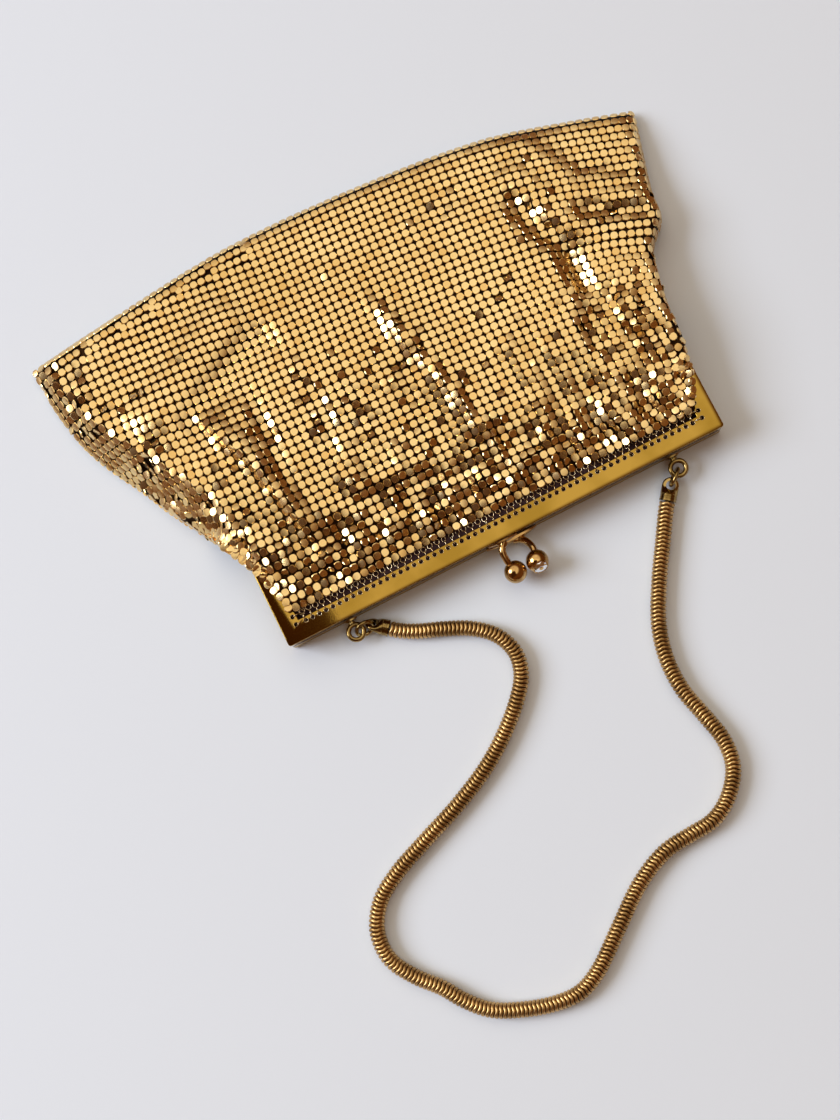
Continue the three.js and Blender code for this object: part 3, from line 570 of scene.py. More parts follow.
def bent_sheet(name, surface, columns, rows, depth, thickness):
    """A thin closed sheet that follows a surface at a depth below it."""
    across, down = np.meshgrid(np.linspace(0.004, 0.996, columns), np.linspace(0.02, 0.99, rows), indexing="ij")
    middle = surface(across.ravel(), down.ravel())
    skins = [middle - (0, 0, depth), middle - (0, 0, depth + thickness)]
    i, j = np.meshgrid(np.arange(columns - 1), np.arange(rows - 1), indexing="ij")
    a = (i * rows + j).ravel()
    top = np.stack([a, a + rows, a + rows + 1, a + 1], -1)
    size = columns * rows
    left, right = np.arange(rows - 1), (columns - 1) * rows + np.arange(rows - 1)
    near, far = np.arange(columns - 1) * rows, np.arange(columns - 1) * rows + rows - 1
    walls = [
        np.stack([left, left + 1, left + 1 + size, left + size], -1),
        np.stack([right + 1, right, right + size, right + 1 + size], -1),
        np.stack([near + rows, near, near + size, near + rows + size], -1),
        np.stack([far, far + rows, far + rows + size, far + size], -1),
    ]
    return mesh_object(name, np.vstack(skins), [top, top[:, ::-1] + size, *walls], smooth=(0, 1))


# Ring layer: brass painted almost black, as painted shade in the gaps, which the eye takes for black lines between the
# plates
painted_shade_brass = metal("ring_layer_painted_shade_brass", "#33200f", "#1b0f07", roughness=0.5, spread=0.15, patch=9.0, scratch=1.3)
# Painted shade: this sheet's near-black colour stands for the shade between the plates, not for the rings' own brass
front_rings = bent_sheet("mesh_rings_front", front_surface, columns=165, rows=93, depth=0.5, thickness=0.25)
back_rings = bent_sheet("mesh_rings_back", back_surface, columns=60, rows=34, depth=-0.3, thickness=0.25)
for rings in (front_rings, back_rings):
    rings.data.materials.append(painted_shade_brass)
    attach(rings, "root")

# Frame: two jaws pressed from brass sheet and polished, turned over at the outer edge and pierced along the
# inner one. They meet at a seam half way down the frame's side and turn on a pin at the end of each leg.
EDGE_ROUND = 1.2
CORNER_ROUND = 0.9
HOLE_DIAMETER = 1.4
HOLE_PITCH = 2.37
HOLE_INSET = 5.1
HOLE_ROW_END = 8.4
LEG_HOLE_PITCH = 2.6
LEG_HOLES = 11
# How much the pressed sheet's face waves, and how far the hole punch reaches above and below a flange's face
JAW_WAVE = 0.03
PUNCH_REACH = 3


def arc(centre, radius, start, end, steps):
    """Points on an arc of a circle between two angles in degrees."""
    angle = np.radians(np.linspace(start, end, steps))
    return np.column_stack([centre[0] + radius * np.cos(angle), centre[1] + radius * np.sin(angle)])


def flange_width(y):
    """How far the flange reaches in from the outer edge: narrower towards the legs' ends."""
    return FLANGE_WIDTH - (FLANGE_WIDTH - FLANGE_TIP) * smooth_step(y, LEG_LENGTH * 0.6, LEG_LENGTH)


def jaw_points(sign):
    """One jaw as a section carried round its U: each section point keeps its distance from the outer edge."""
    top = FRAME_DEPTH
    middle = FRAME_DEPTH / 2 + FIT_GAP / 2
    section = np.vstack([
        [(0.5, middle), (0.12, middle + 0.4), (0.12, top - 1.5), (0, top - 1.25), (0, top - 0.85)],
        arc((0.3, top - 0.75), 0.3, 180, 100, 4),
        [(1.4, top - 0.22), (2.6, top - 0.09), (3.9, top - 0.03), (5.2, top - 0.01)],
        arc((FLANGE_WIDTH - 0.35, top - 0.36), 0.35, 90, 0, 4),
        [(FLANGE_WIDTH - 0.1, top - PLATE), (3.6, top - PLATE)],
        arc((EDGE_ROUND + 0.5, top - EDGE_ROUND - 0.5), 0.5, 90, 180, 4),
        [(PLATE + 0.3, middle)],
    ])
    inset, height = section[:, 0], section[:, 1]
    half = FRAME_WIDTH / 2
    corner = np.maximum(CORNER_ROUND - inset, 0.12)[:, None]
    bend = np.radians(np.linspace(0, 90, 6))[None]
    leg = np.linspace(1, 0, 12)[None, :-1]
    leg_y = (inset[:, None] + corner) + (LEG_LENGTH - inset[:, None] - corner) * leg
    narrow = (FLANGE_WIDTH - flange_width(leg_y)) * smooth_step(inset[:, None], 3.0, FLANGE_WIDTH)
    leg_x = -(half - inset[:, None]) - narrow
    bend_x = -(half - inset[:, None]) + corner * (1 - np.cos(bend))
    bend_y = inset[:, None] + corner * (1 - np.sin(bend))
    bar = np.linspace(0, 1, 41)[None, 1:-1]
    bar_half = half - inset[:, None] - corner
    bar_x = -bar_half + 2 * bar_half * bar
    bar_y = np.broadcast_to(inset[:, None], bar_x.shape)
    x = np.concatenate([leg_x, bend_x, bar_x, -bend_x[:, ::-1], -leg_x[:, ::-1]], 1)
    y = np.concatenate([leg_y, bend_y, bar_y, bend_y[:, ::-1], leg_y[:, ::-1]], 1)
    z = np.broadcast_to(height[:, None], x.shape) + JAW_WAVE * np.cos(x / 13 + 1) * np.sin(x / 7.3)
    if sign < 0:
        x, z = -x, FRAME_DEPTH - z
    count, stations = x.shape
    points = np.stack([x, y, z], -1).transpose(1, 0, 2).reshape(-1, 3)
    k, s = np.meshgrid(np.arange(count), np.arange(stations - 1), indexing="ij")
    k, s = k.ravel(), s.ravel()
    after = (k + 1) % count
    sides = np.stack([s * count + k, s * count + after, (s + 1) * count + after, (s + 1) * count + k], -1)
    caps = np.stack([np.arange(count)[::-1], (stations - 1) * count + np.arange(count)])
    return points, [sides, caps]


def hole_places():
    """Centres of the holes: one row along the bar, and one up each leg that follows the flange's edge."""
    half = FRAME_WIDTH / 2
    count = int((FRAME_WIDTH - 2 * HOLE_ROW_END) / HOLE_PITCH) + 1
    bar_x = (np.arange(count) - (count - 1) / 2) * HOLE_PITCH
    bar = np.column_stack([bar_x, np.full(count, HOLE_INSET)])
    leg_y = HOLE_INSET + 0.2 + LEG_HOLE_PITCH * np.arange(LEG_HOLES)
    leg_x = half - flange_width(leg_y) + (FLANGE_WIDTH - HOLE_INSET)
    legs = [np.column_stack([side * leg_x, leg_y]) for side in (-1, 1)]
    return bar, legs


bar_holes, leg_holes = hole_places()
all_holes = np.vstack([bar_holes, *leg_holes])


def bars(name, centres, radius, low, high, sides):
    """Upright round bars at given places, as one mesh."""
    angle = np.arange(sides) * 2 * np.pi / sides
    ring = np.column_stack([radius * np.cos(angle), radius * np.sin(angle)])
    form = np.vstack([np.column_stack([ring, np.full(sides, low)]), np.column_stack([ring, np.full(sides, high)])])
    i = np.arange(sides)
    walls = np.stack([i, (i + 1) % sides, (i + 1) % sides + sides, i + sides], -1)
    where = np.column_stack([centres, np.zeros(len(centres))])
    axes = np.broadcast_to(np.eye(3), (len(centres), 3, 3))
    return mesh_object(name, *copies(form, [walls, i[::-1][None], (i + sides)[None]], where, axes))


def cut_with(piece, cutter):
    """Cuts one mesh out of another and throws the cutter away."""
    cut = piece.modifiers.new("holes", "BOOLEAN")
    cut.object = cutter
    cut.operation = "DIFFERENCE"
    cut.solver = "EXACT"
    settle(piece)
    bpy.data.objects.remove(cutter)


def settle(piece):
    """Applies a piece's modifiers and smooths its shading except over sharp edges."""
    graph = bpy.context.evaluated_depsgraph_get()
    made = bpy.data.meshes.new_from_object(piece.evaluated_get(graph))
    piece.modifiers.clear()
    piece.data = made
    soften(piece)


# Frame brass: a clear yellow mirror with faint waves, with painted shade: darkened in a band along the seam and in one
# under the turned edge
frame_brass = metal(
    "frame_polished_brass", "#b28f40", "#9c7b2f", roughness=0.035, spread=0.03, patch=14.0, scratch=0.5, relief=0.03,
)
frame_tree = frame_brass.node_tree
frame_shader = frame_tree.nodes["Principled BSDF"]
on_frame = add_node(frame_tree, "TexCoord").outputs["Object"]
height = add_node(frame_tree, "SeparateXYZ", [("Vector", on_frame)]).outputs["Z"]
height = add_node(frame_tree, "MapRange", [("Value", height)], From_Max=FRAME_DEPTH / 1000).outputs["Result"]
# Painted shade by height on the jaws: a dark band along the seam half way up the side, and one under the turned edge
painted_shade_bands = add_node(frame_tree, "ValToRGB", [("Fac", height)])
for share, shade in ((0.4, "#ffffff"), (0.44, "#5a4636"), (0.56, "#5a4636"), (0.6, "#ffffff"), (0.8, "#ffffff"),
                     (0.83, "#6a5440"), (0.895, "#6a5440"), (0.925, "#ffffff")):
    painted_shade_bands.color_ramp.elements.new(share).color = paint(shade)
painted_shade_bands.color_ramp.elements[0].color = paint("#ffffff")
brass_colour = frame_shader.inputs["Base Color"].links[0].from_socket
brass_with_painted_shade = add_node(frame_tree, "Mix", data_type="RGBA", blend_type="MULTIPLY")
brass_with_painted_shade.inputs["Factor"].default_value = 1.0
frame_tree.links.new(brass_colour, brass_with_painted_shade.inputs["A"])
frame_tree.links.new(painted_shade_bands.outputs["Color"], brass_with_painted_shade.inputs["B"])
frame_tree.links.new(brass_with_painted_shade.outputs["Result"], frame_shader.inputs["Base Color"])
for name, node, sign in (("frame_jaw_front", "front_jaw", 1), ("frame_jaw_back", "back_jaw", -1)):
    jaw = mesh_object(name, *jaw_points(sign))
    face = FRAME_DEPTH if sign > 0 else 0
    places = all_holes * (sign, 1)
    cut_with(jaw, bars("hole_punch", places, HOLE_DIAMETER / 2, face - PUNCH_REACH, face + PUNCH_REACH, sides=12))
    jaw.data.materials.append(frame_brass)
    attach(jaw, "root")
    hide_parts(node)

# Hinge pins: short brass rivets through the ends of the legs, headed on the inside, which the two jaws turn
# on. The CAD's own pins show, in the frame's brass.
for side in ("left", "right"):
    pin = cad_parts["hinge_pin_" + side]
    pin.data.materials.clear()
    pin.data.materials.append(frame_brass)

# Hanging links: rings of brass wire, one closed through each hole of the flange and over its edge. Smaller
# rings join them to the first row of plates.
LINK_RADIUS = 1.35
LINK_WIRE = 0.15
JOINING_RADIUS = 0.85
JOINING_WIRE = 0.12
RIM_WIRE = 0.07
# How far the large rings swing and the small ones lean, as slopes, and how far the small ones stray
LINK_SWING = 0.14
JOINING_LEAN = 0.3
JOINING_STRAY = 0.12
# How flat the back jaw's rings are pressed, as a share of their height
PRESSED_FLAT = 0.26


def ring_quads(stations, around, closed=False, flip=False):
    """Quads between rings of points: each ring is joined to the next, and the last to the first if closed."""
    spans = stations if closed else stations - 1
    s, k = (grid.ravel() for grid in np.meshgrid(np.arange(spans), np.arange(around), indexing="ij"))
    next_s, next_k = (s + 1) % stations, (k + 1) % around
    quads = np.stack([s * around + k, s * around + next_k, next_s * around + next_k, next_s * around + k], -1)
    return quads[:, [0, 3, 2, 1]] if flip else quads


def tube_faces(stations, around):
    """The faces of a tube with closed ends: the quads between its rings of points, and two caps."""
    first = np.arange(around)
    return [ring_quads(stations, around), np.stack([first[::-1], (stations - 1) * around + first])]


def ring_form(radius, wire, around, across):
    """A wire ring in its own xy plane, centred at the origin."""
    turn = np.arange(around) * 2 * np.pi / around
    tube = np.arange(across) * 2 * np.pi / across
    turn, tube = np.meshgrid(turn, tube, indexing="ij")
    reach = radius + wire * np.cos(tube)
    form = np.stack([reach * np.cos(turn), reach * np.sin(turn), wire * np.sin(tube)], -1).reshape(-1, 3)
    return form, [ring_quads(around, across, closed=True, flip=True)]


def hanging_links(name, sign):
    """Rings through the holes and over the flange's edge, smaller ones that join them to the mesh, and the
    rims of the holes, in the pale link brass as a partly painted highlight; sign is -1 for the back jaw, whose rings
    lie flat between it and the table."""
    random = np.random.default_rng(5)
    inward = np.vstack([
        np.broadcast_to((0.0, 1.0, 0.0), (len(bar_holes), 3)),
        *(np.broadcast_to((-side, 0.0, 0.0), (len(leg_holes[0]), 3)) for side in (-1.0, 1.0)),
    ])
    count = len(all_holes)
    holes = np.column_stack([all_holes, np.full(count, FRAME_DEPTH - PLATE / 2)])
    upright = np.broadcast_to((0.0, 0.0, 1.0), inward.shape)
    swung = unit(inward + random.normal(0, LINK_SWING, (count, 1)) * np.cross(upright, inward))
    flat = 1.0 if sign > 0 else PRESSED_FLAT
    large = copies(
        *ring_form(LINK_RADIUS, LINK_WIRE, around=14, across=5), holes + inward * (LINK_RADIUS - 0.1),
        np.stack([swung, upright * flat, np.cross(swung, upright) * min(1.0, flat * 2.5)], 1),
    )
    lean = random.normal(0, JOINING_LEAN, (count, 3))
    level_x = unit(np.cross(upright, inward) + lean * (1, 1, flat))
    level_y = unit(np.cross(upright, level_x))
    small = copies(
        *ring_form(JOINING_RADIUS, JOINING_WIRE, around=12, across=5),
        holes + inward * (2 * LINK_RADIUS + 0.45) + (0, 0, 0.1)
        + random.normal(0, JOINING_STRAY, (count, 3)) * (1, 1, flat),
        np.stack([level_x, level_y, np.cross(level_x, level_y)], 1),
    )
    # The holes' rims: small rings for their turned edges, in the pale link brass, so their brightness is partly a
    # painted highlight
    rim_depth = 0.02 if sign > 0 else 0.1
    rim_highlights = copies(
        *ring_form(HOLE_DIAMETER / 2 + 0.03, RIM_WIRE, around=14, across=5),
        holes + (0, 0, PLATE / 2 - rim_depth),
        np.broadcast_to(np.eye(3), (count, 3, 3)),
    )
    points, faces, start = [], [], 0
    for some_points, (some_faces,) in (large, small, rim_highlights):
        points.append(some_points)
        faces.append(some_faces + start)
        start += len(some_points)
    points = np.vstack(points)
    if sign < 0:
        points = points * (-1, 1, -1) + (0, 0, FRAME_DEPTH)
    return mesh_object(name, points, [np.vstack(faces)], smooth=(0,))


# Link wire: thin pale brass, its colour made paler than the frame's as a painted highlight, so that each ring shows
# against the dark behind it
link_brass_painted_highlight = metal("link_wire_brass_painted_highlight", "#e4d4b2", "#c0a277", roughness=0.16, spread=0.1, patch=6.0, scratch=0.4)
for name, sign in (("hanging_links_front", 1), ("hanging_links_back", -1)):
    links = hanging_links(name, sign)
    links.data.materials.append(link_brass_painted_highlight)
    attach(links, "root")

# Lining: a pocket of plain-woven maroon cloth, folded once and sewn flat at its sides and foot. It hangs inside
# the mesh with its mouth tucked under the frame's flanges, and shows as a dark line behind the hanging links.
LINING_START = PLATE + 2 * FIT_GAP
LINING_DROP = 111.5
LINING_CLOTH = 0.4
LINING_HALF = FRAME_WIDTH / 2 - 4.3
LINING_ROWS = np.array([
    (0, 1, 1, 0.86), (0.12, 1, 0.97, 0.8), (0.32, 1, 0.92, 0.76), (0.55, 1.1, 0.9, 0.72),
    (0.78, 1.2, 0.95, 0.52), (1, 1.28, 0.88, 0.2),
])


def lining_skin(inset, around, rows):
    """One skin of the pocket: flattened hoops, x = m + h·cos(t)^0.7 and z likewise with ^0.75, row by row."""
    down, turn = np.meshgrid(np.linspace(0, 1, rows), np.arange(around) * 2 * np.pi / around, indexing="ij")
    left, right, top = (read_table(LINING_ROWS[:, (0, k)], down) for k in (1, 2, 3))
    low_x, high_x = inset - left * LINING_HALF, right * LINING_HALF - inset
    low_z, high_z = MESH_THICKNESS + FIT_GAP + inset, top * FRAME_DEPTH - inset * (1 - 0.8 * down)
    round_x = np.sign(np.cos(turn)) * np.abs(np.cos(turn)) ** 0.7
    round_z = np.sign(np.sin(turn)) * np.abs(np.sin(turn)) ** 0.75
    x = (low_x + high_x + round_x * (high_x - low_x)) / 2
    z = (low_z + high_z + round_z * (high_z - low_z)) / 2
    wrinkle = 0.25 * np.sin(turn * 2) * np.sin(9 * down + x / 9) * down
    y = LINING_START + down * (LINING_DROP - LINING_START) - inset * down
    return np.stack([x, y, z + wrinkle], -1).reshape(-1, 3)


LINING_AROUND, LINING_STEPS = 60, 40
skin_size = LINING_AROUND * LINING_STEPS
outer = ring_quads(LINING_STEPS, LINING_AROUND, flip=True)
k = np.arange(LINING_AROUND)
after = (k + 1) % LINING_AROUND
mouth = np.stack([k, after, after + skin_size, k + skin_size], -1)
foot = skin_size - LINING_AROUND + k
lining_cloth = mesh_object(
    "lining_cloth_pocket", np.vstack([lining_skin(0, LINING_AROUND, LINING_STEPS),
                                      lining_skin(LINING_CLOTH, LINING_AROUND, LINING_STEPS)]),
    [outer, outer[:, ::-1] + skin_size, mouth, np.stack([foot[::-1], foot + skin_size])], smooth=(0, 1),
)

# Lining cloth: a matt maroon rayon whose warp and weft show as a fine cross grain
THREAD_PITCH = 0.45
cloth, cloth_tree, cloth_shader = new_material("maroon_woven_rayon", Roughness=0.8, Sheen_Weight=0.3)
on_cloth = add_node(cloth_tree, "TexCoord").outputs["Object"]
threads = [
    add_node(
        cloth_tree, "TexWave", [("Vector", on_cloth)], bands_direction=axis, Scale=np.pi / 10 / (THREAD_PITCH / 1000),
        Distortion=0.4, Detail=1.0,
    ).outputs["Fac"]
    for axis in ("X", "Y")
]
weave = add_node(cloth_tree, "Math", operation="MULTIPLY")
cloth_tree.links.new(threads[0], weave.inputs[0])
cloth_tree.links.new(threads[1], weave.inputs[1])
dye = add_node(cloth_tree, "ValToRGB", [("Fac", weave.outputs["Value"])])
dye.color_ramp.elements[0].color = paint("#2a1216")
dye.color_ramp.elements[1].color = paint("#5c2a30")
cloth_tree.links.new(dye.outputs["Color"], cloth_shader.inputs["Base Color"])
raised = add_node(cloth_tree, "Bump", [("Height", weave.outputs["Value"])], Strength=0.5, Distance=0.0001)
cloth_tree.links.new(raised.outputs["Normal"], cloth_shader.inputs["Normal"])
lining_cloth.data.materials.append(cloth)
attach(lining_cloth, "root")
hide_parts("lining")

# Kiss-lock: two brass balls on bent stems that snap past each other, each riveted to its jaw by a domed foot.
# The back ball holds a round-cut clear stone in a raised setting.
BALL_DIAMETER = 7.3
BALL_REACH = 10.7
BALL_HEIGHT = 6.6
STEM_DIAMETER = 2.3
CLASP_X = 1.5
STONE_DIAMETER = 4.7
STONE_ANGLE = 35


def tube_along(line, radii, sides):
    """A round bar along a line, its radius given at every point, closed at both ends."""
    line = np.asarray(line, float)
    tangent = unit(np.gradient(line, axis=0))
    side = np.cross(tangent[0], (0.3, 0.2, 1.0))
    frames = []
    for direction in tangent:
        side = unit(side - direction * (side @ direction))
        frames.append((side, np.cross(direction, side)))
    first, second = np.array(frames).transpose(1, 0, 2)
    angle = np.arange(sides) * 2 * np.pi / sides
    ring = first[:, None] * np.cos(angle)[None, :, None] + second[:, None] * np.sin(angle)[None, :, None]
    points = line[:, None] + ring * np.broadcast_to(radii, len(line))[:, None, None]
    return points.reshape(-1, 3), tube_faces(len(line), sides)


def joined(name, parts, material):
    """Several closed forms as one mesh, each given as points and face arrays."""
    counts = np.cumsum([0] + [len(points) for points, _ in parts])
    faces = [group + counts[i] for i, (_, groups) in enumerate(parts) for group in groups]
    piece = mesh_object(name, np.vstack([points for points, _ in parts]), faces)
    soften(piece)
    piece.data.materials.append(material)
    return piece


def turned(profile, sides):
    """A form turned about its own z axis from a profile of (radius, height) that starts and ends on the axis."""
    profile = np.asarray(profile, float)
    inner = profile[1:-1]
    angle = np.arange(sides) * 2 * np.pi / sides
    ring = np.stack([np.cos(angle), np.sin(angle)], -1)
    body = np.concatenate([
        inner[:, None, :1] * ring[None], np.broadcast_to(inner[:, None, 1:], (len(inner), sides, 1)),
    ], -1).reshape(-1, 3)
    points = np.vstack([body, (0, 0, profile[0, 1]), (0, 0, profile[-1, 1])])
    k = np.arange(sides)
    after = (k + 1) % sides
    low, high = len(body), len(body) + 1
    last = (len(inner) - 1) * sides
    start = np.stack([after, k, np.full(sides, low)], -1)
    end = np.stack([last + k, last + after, np.full(sides, high)], -1)
    return points, [ring_quads(len(inner), sides), start, end]


def ball_profile(radius, steps):
    """Half a circle from pole to pole, as (radius, height): (r * cos a, r * sin a)."""
    angle = np.radians(np.linspace(-90, 90, steps))
    return np.column_stack([radius * np.cos(angle), radius * np.sin(angle)])


def moved(form, centre, axes=np.eye(3)):
    """A form turned to three axes and set down at a centre."""
    points, faces = form
    return points @ np.asarray(axes, float) + np.asarray(centre, float), faces


def clasp_foot(low_x, high_x, bulge, middle_z, half_height):
    """A lens-shaped plate standing against the frame's side, thickest at its middle and rounded at its rim."""
    stations, around = 25, 9
    share = np.linspace(-1, 1, stations)
    x = (low_x + high_x) / 2 + share * (high_x - low_x) / 2
    out = 0.2 + bulge * (1 - share**2)
    section = np.radians(np.linspace(0, 180, around))
    y = -FIT_GAP - out[:, None] * np.sin(section)[None] ** 0.6
    z = middle_z + half_height * np.cos(section)[None] * (0.75 + 0.25 * (1 - share[:, None] ** 2))
    points = np.stack([np.broadcast_to(x[:, None], y.shape), y, z + 0 * y], -1).reshape(-1, 3)
    first = np.arange(around)
    caps = np.stack([first, (stations - 1) * around + first[::-1]])
    return points, [ring_quads(stations, around, flip=True), caps]


# Clasp brass: polished balls with dull spots where the gilding has worn
clasp_brass = metal("clasp_aged_brass", "#d3ad72", "#a07a48", roughness=0.05, spread=0.12, patch=3.2, scratch=0.5)
ball_spread = BALL_DIAMETER / 2 + FIT_GAP / 2
front_ball = np.array([CLASP_X - ball_spread, -BALL_REACH, BALL_HEIGHT])
back_ball = np.array([CLASP_X + ball_spread, -BALL_REACH, BALL_HEIGHT])
stem_taper = np.interp(np.linspace(0, 1, 49), (0, 0.15, 0.6, 1), (1.3, 1.02, 0.95, 0.9)) * STEM_DIAMETER / 2

root = CLASP_X - 3
front_stem = curve_through([
    (root, -0.9, FRAME_DEPTH * 0.75), (root - 1.6, -BALL_REACH * 0.3, FRAME_DEPTH * 0.75 + 0.2),
    (root - 1.7, -BALL_REACH * 0.62, FRAME_DEPTH * 0.65 + 0.6), front_ball,
], 16)
clasp_front = joined("clasp_half_front", [
    clasp_foot(CLASP_X - 8, CLASP_X + 2, 0.7, FRAME_DEPTH * 0.75, 1.9),
    tube_along(front_stem, stem_taper, sides=16),
    moved(turned(ball_profile(BALL_DIAMETER / 2, steps=25), sides=36), front_ball),
], clasp_brass)
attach(clasp_front, "root")
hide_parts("clasp_front")

root = CLASP_X + 0.6
back_stem = curve_through([
    (root, -0.9, FRAME_DEPTH * 0.25), (root + 2.4, -BALL_REACH * 0.22, FRAME_DEPTH * 0.25 + 0.4),
    (root + 3.9, -BALL_REACH * 0.52, FRAME_DEPTH * 0.4), back_ball,
], 16)
facing = np.array([0.0, -np.cos(np.radians(STONE_ANGLE)), np.sin(np.radians(STONE_ANGLE))])
stone_axes = np.array([(1.0, 0.0, 0.0), np.cross(facing, (1.0, 0.0, 0.0)), facing])
seat = np.sqrt((BALL_DIAMETER / 2) ** 2 - (STONE_DIAMETER / 2) ** 2)
setting_profile = [
    (0, seat - 1.4), (STONE_DIAMETER / 2 + 0.12, seat - 0.9), (STONE_DIAMETER / 2 + 0.3, seat - 0.3),
    (STONE_DIAMETER / 2 + 0.26, seat + 0.1), (STONE_DIAMETER / 2 + 0.05, seat + 0.16),
    (STONE_DIAMETER / 2 - 0.06, seat), (STONE_DIAMETER / 2 - 0.1, seat - 0.5), (0, seat - 0.55),
]
clasp_back = joined("clasp_half_back", [
    clasp_foot(CLASP_X - 8.8, CLASP_X + 8.8, 1.2, FRAME_DEPTH * 0.25, 1.9),
    tube_along(back_stem, stem_taper, sides=16),
    moved(turned(ball_profile(BALL_DIAMETER / 2 - 0.02, steps=25), sides=36), back_ball),
    moved(turned(setting_profile, sides=36), back_ball, stone_axes),
], clasp_brass)
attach(clasp_back, "root")
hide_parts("clasp_back")


def cut_stone():
    """A round-cut stone: a table, three rings of facets above the girdle and one below it."""
    around = 8
    girdle = STONE_DIAMETER / 2
    rings = [
        (0.4 * girdle, 0.7, 0), (0.6 * girdle, 0.6, 0.5), (0.82 * girdle, 0.36, 0), (girdle, 0.04, 0.5),
        (girdle, -0.05, 0.5), (0.5 * girdle, -0.5, 0),
    ]
    points = []
    for radius, height, turn in rings:
        angle = (np.arange(around) + turn) * 2 * np.pi / around
        points.append(np.column_stack([radius * np.cos(angle), radius * np.sin(angle), np.full(around, height)]))
    i = np.arange(around)
    after = (i + 1) % around
    start = around * np.arange(len(rings))
    triangles = []
    for upper, lower, twisted in ((0, 1, True), (1, 2, False), (2, 3, True), (4, 5, False)):
        a, b = start[upper], start[lower]
        if twisted:
            triangles += [np.stack([a + i, b + i, a + after], -1), np.stack([b + i, b + after, a + after], -1)]
        else:
            triangles += [np.stack([a + i, b + i, b + after], -1), np.stack([a + i, b + after, a + after], -1)]
    girdle_walls = np.stack([start[3] + i, start[4] + i, start[4] + after, start[3] + after], -1)
    return np.vstack(points), [np.vstack(triangles), girdle_walls, np.stack([i, start[5] + i[::-1]])]


# Stone: clear glass over a foil, so each facet mirrors another part of the room
crystal = new_material(
    "foiled_cut_stone", Base_Color=paint("#eef1f6"), Metallic=1.0, Roughness=0.03, Coat_Weight=1.0,
)[0]
stone_points, stone_faces = moved(cut_stone(), back_ball + facing * (seat + 0.05), stone_axes)
stone = mesh_object("clasp_cut_stone", stone_points, stone_faces)
stone.data.materials.append(crystal)
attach(stone, "root")
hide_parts("clasp_stone")

# Eyelets, links and caps: a flat ring with a foot soldered to the frame's side, a round wire link in it, and
# the chain's cap, a crimped sleeve pressed flat into a tab with a hole.
EYELET_DIAMETER = 6.5
EYELET_WIRE = 1.6
EYELET_STANDOFF = 4.6
EYELET_HEIGHT = 4.5
EYELET_FOOT = 4.8
LINK_WIRE_THICK = 1.3
CHAIN_DIAMETER = 5.0
CAP_LENGTH = 5.4
TAB_THICKNESS = 1.3
TAB_WIDTH = 5.4
TAB_HOLE = 3.1
CAP_RADIUS = CHAIN_DIAMETER / 2 + 0.2
LINK_SPAN = EYELET_DIAMETER * 0.9
# Each side: where along the frame, the directions to the cap's hole and into the chain, and the two leans
HANGERS = {
    "left": (-0.732, -3, -40, 34, 48),
    "right": (0.766, -141, -128, 6, 6),
}


def level(degrees, length=1.0):
    """A level vector at an angle in degrees from the frame's direction."""
    return length * np.array([np.cos(np.radians(degrees)), np.sin(np.radians(degrees)), 0.0])


def turn_about(vector, axis, degrees):
    """A vector turned about a unit axis."""
    a = np.radians(degrees)
    return vector * np.cos(a) + np.cross(axis, vector) * np.sin(a) + axis * (axis @ vector) * (1 - np.cos(a))


def cap_form():
    """The cap from the chain's end outwards along x: a crimped sleeve pressed flat into a round-ended tab."""
    x = np.array([
        0.3, 0.34, 0.55, 0.9, 1.0, 1.15, 1.25, 1.5, 1.6, 1.75, 1.85, 2.1, 2.2, 2.35, 2.5, 3.2, 4.0, 4.8, 5.6,
        6.4, 7.1, 7.6, 7.95, 8.08,
    ])
    dip = 0.14 * ((np.abs(x - 1.07) < 0.09) + (np.abs(x - 1.67) < 0.09) + (np.abs(x - 2.27) < 0.09))
    end = CAP_LENGTH + TAB_WIDTH / 2
    round_end = np.sqrt(np.clip(1 - (np.maximum(x - CAP_LENGTH, 0) / (TAB_WIDTH / 2)) ** 2, 0.006, 1))
    half_width = (CAP_RADIUS - dip) * round_end * np.where(x < 0.32, 0.86, 1)
    flat = smooth_step(x, 2.5, 5.0)
    half_thick = (CAP_RADIUS - dip) * (1 - flat) + TAB_THICKNESS * 0.6 * flat * (0.55 + 0.45 * round_end)
    half_thick = np.where(x < 0.32, half_thick * 0.86, half_thick)
    around = 28
    angle = np.arange(around) * 2 * np.pi / around
    power = (1 - 0.45 * flat)[:, None]
    cosine, sine = np.cos(angle)[None], np.sin(angle)[None]
    across = np.sign(cosine) * np.abs(cosine) ** power * half_width[:, None]
    up = np.sign(sine) * np.abs(sine) ** power * half_thick[:, None]
    points = np.stack([np.broadcast_to(x[:, None], across.shape), across, up], -1).reshape(-1, 3)
    return points, tube_faces(len(x), around)


def carry(piece, centre, axes):
    """Moves a piece made about its own origin to a centre and three axes, by its points."""
    count = len(piece.data.vertices)
    points = np.empty(count * 3, np.float32)
    piece.data.vertices.foreach_get("co", points)
    points = (points.reshape(-1, 3) - PURSE_ORIGIN) * 1000
    piece.data.vertices.foreach_set("co", place(points @ axes + centre).astype(np.float32).ravel())
    piece.data.update()


def eyelet_form(x):
    """The eyelet: a level ring, thick in section, with a rounded foot that bears on the frame's side."""
    ring = moved(
        ring_form((EYELET_DIAMETER - EYELET_WIRE) / 2, EYELET_WIRE / 2, around=32, across=12),
        (x, -EYELET_STANDOFF, EYELET_HEIGHT),
    )
    barrel = [
        (0, 0.3), (1.0, 0.3), (1.15, 0.5), (1.15, 0.9), (1.0, 1.0), (1.0, 1.1), (1.15, 1.2), (1.15, 1.7),
        (1.0, 1.85), (0, 1.9),
    ]
    outwards = np.array([(1.0, 0.0, 0.0), (0.0, 0.0, 1.0), (0.0, -1.0, 0.0)])
    foot = clasp_foot(x - EYELET_FOOT / 2, x + EYELET_FOOT / 2, 0.7, EYELET_HEIGHT, 1.4)
    return [ring, foot, moved(turned(barrel, sides=20), (x, 0, EYELET_HEIGHT), outwards)]


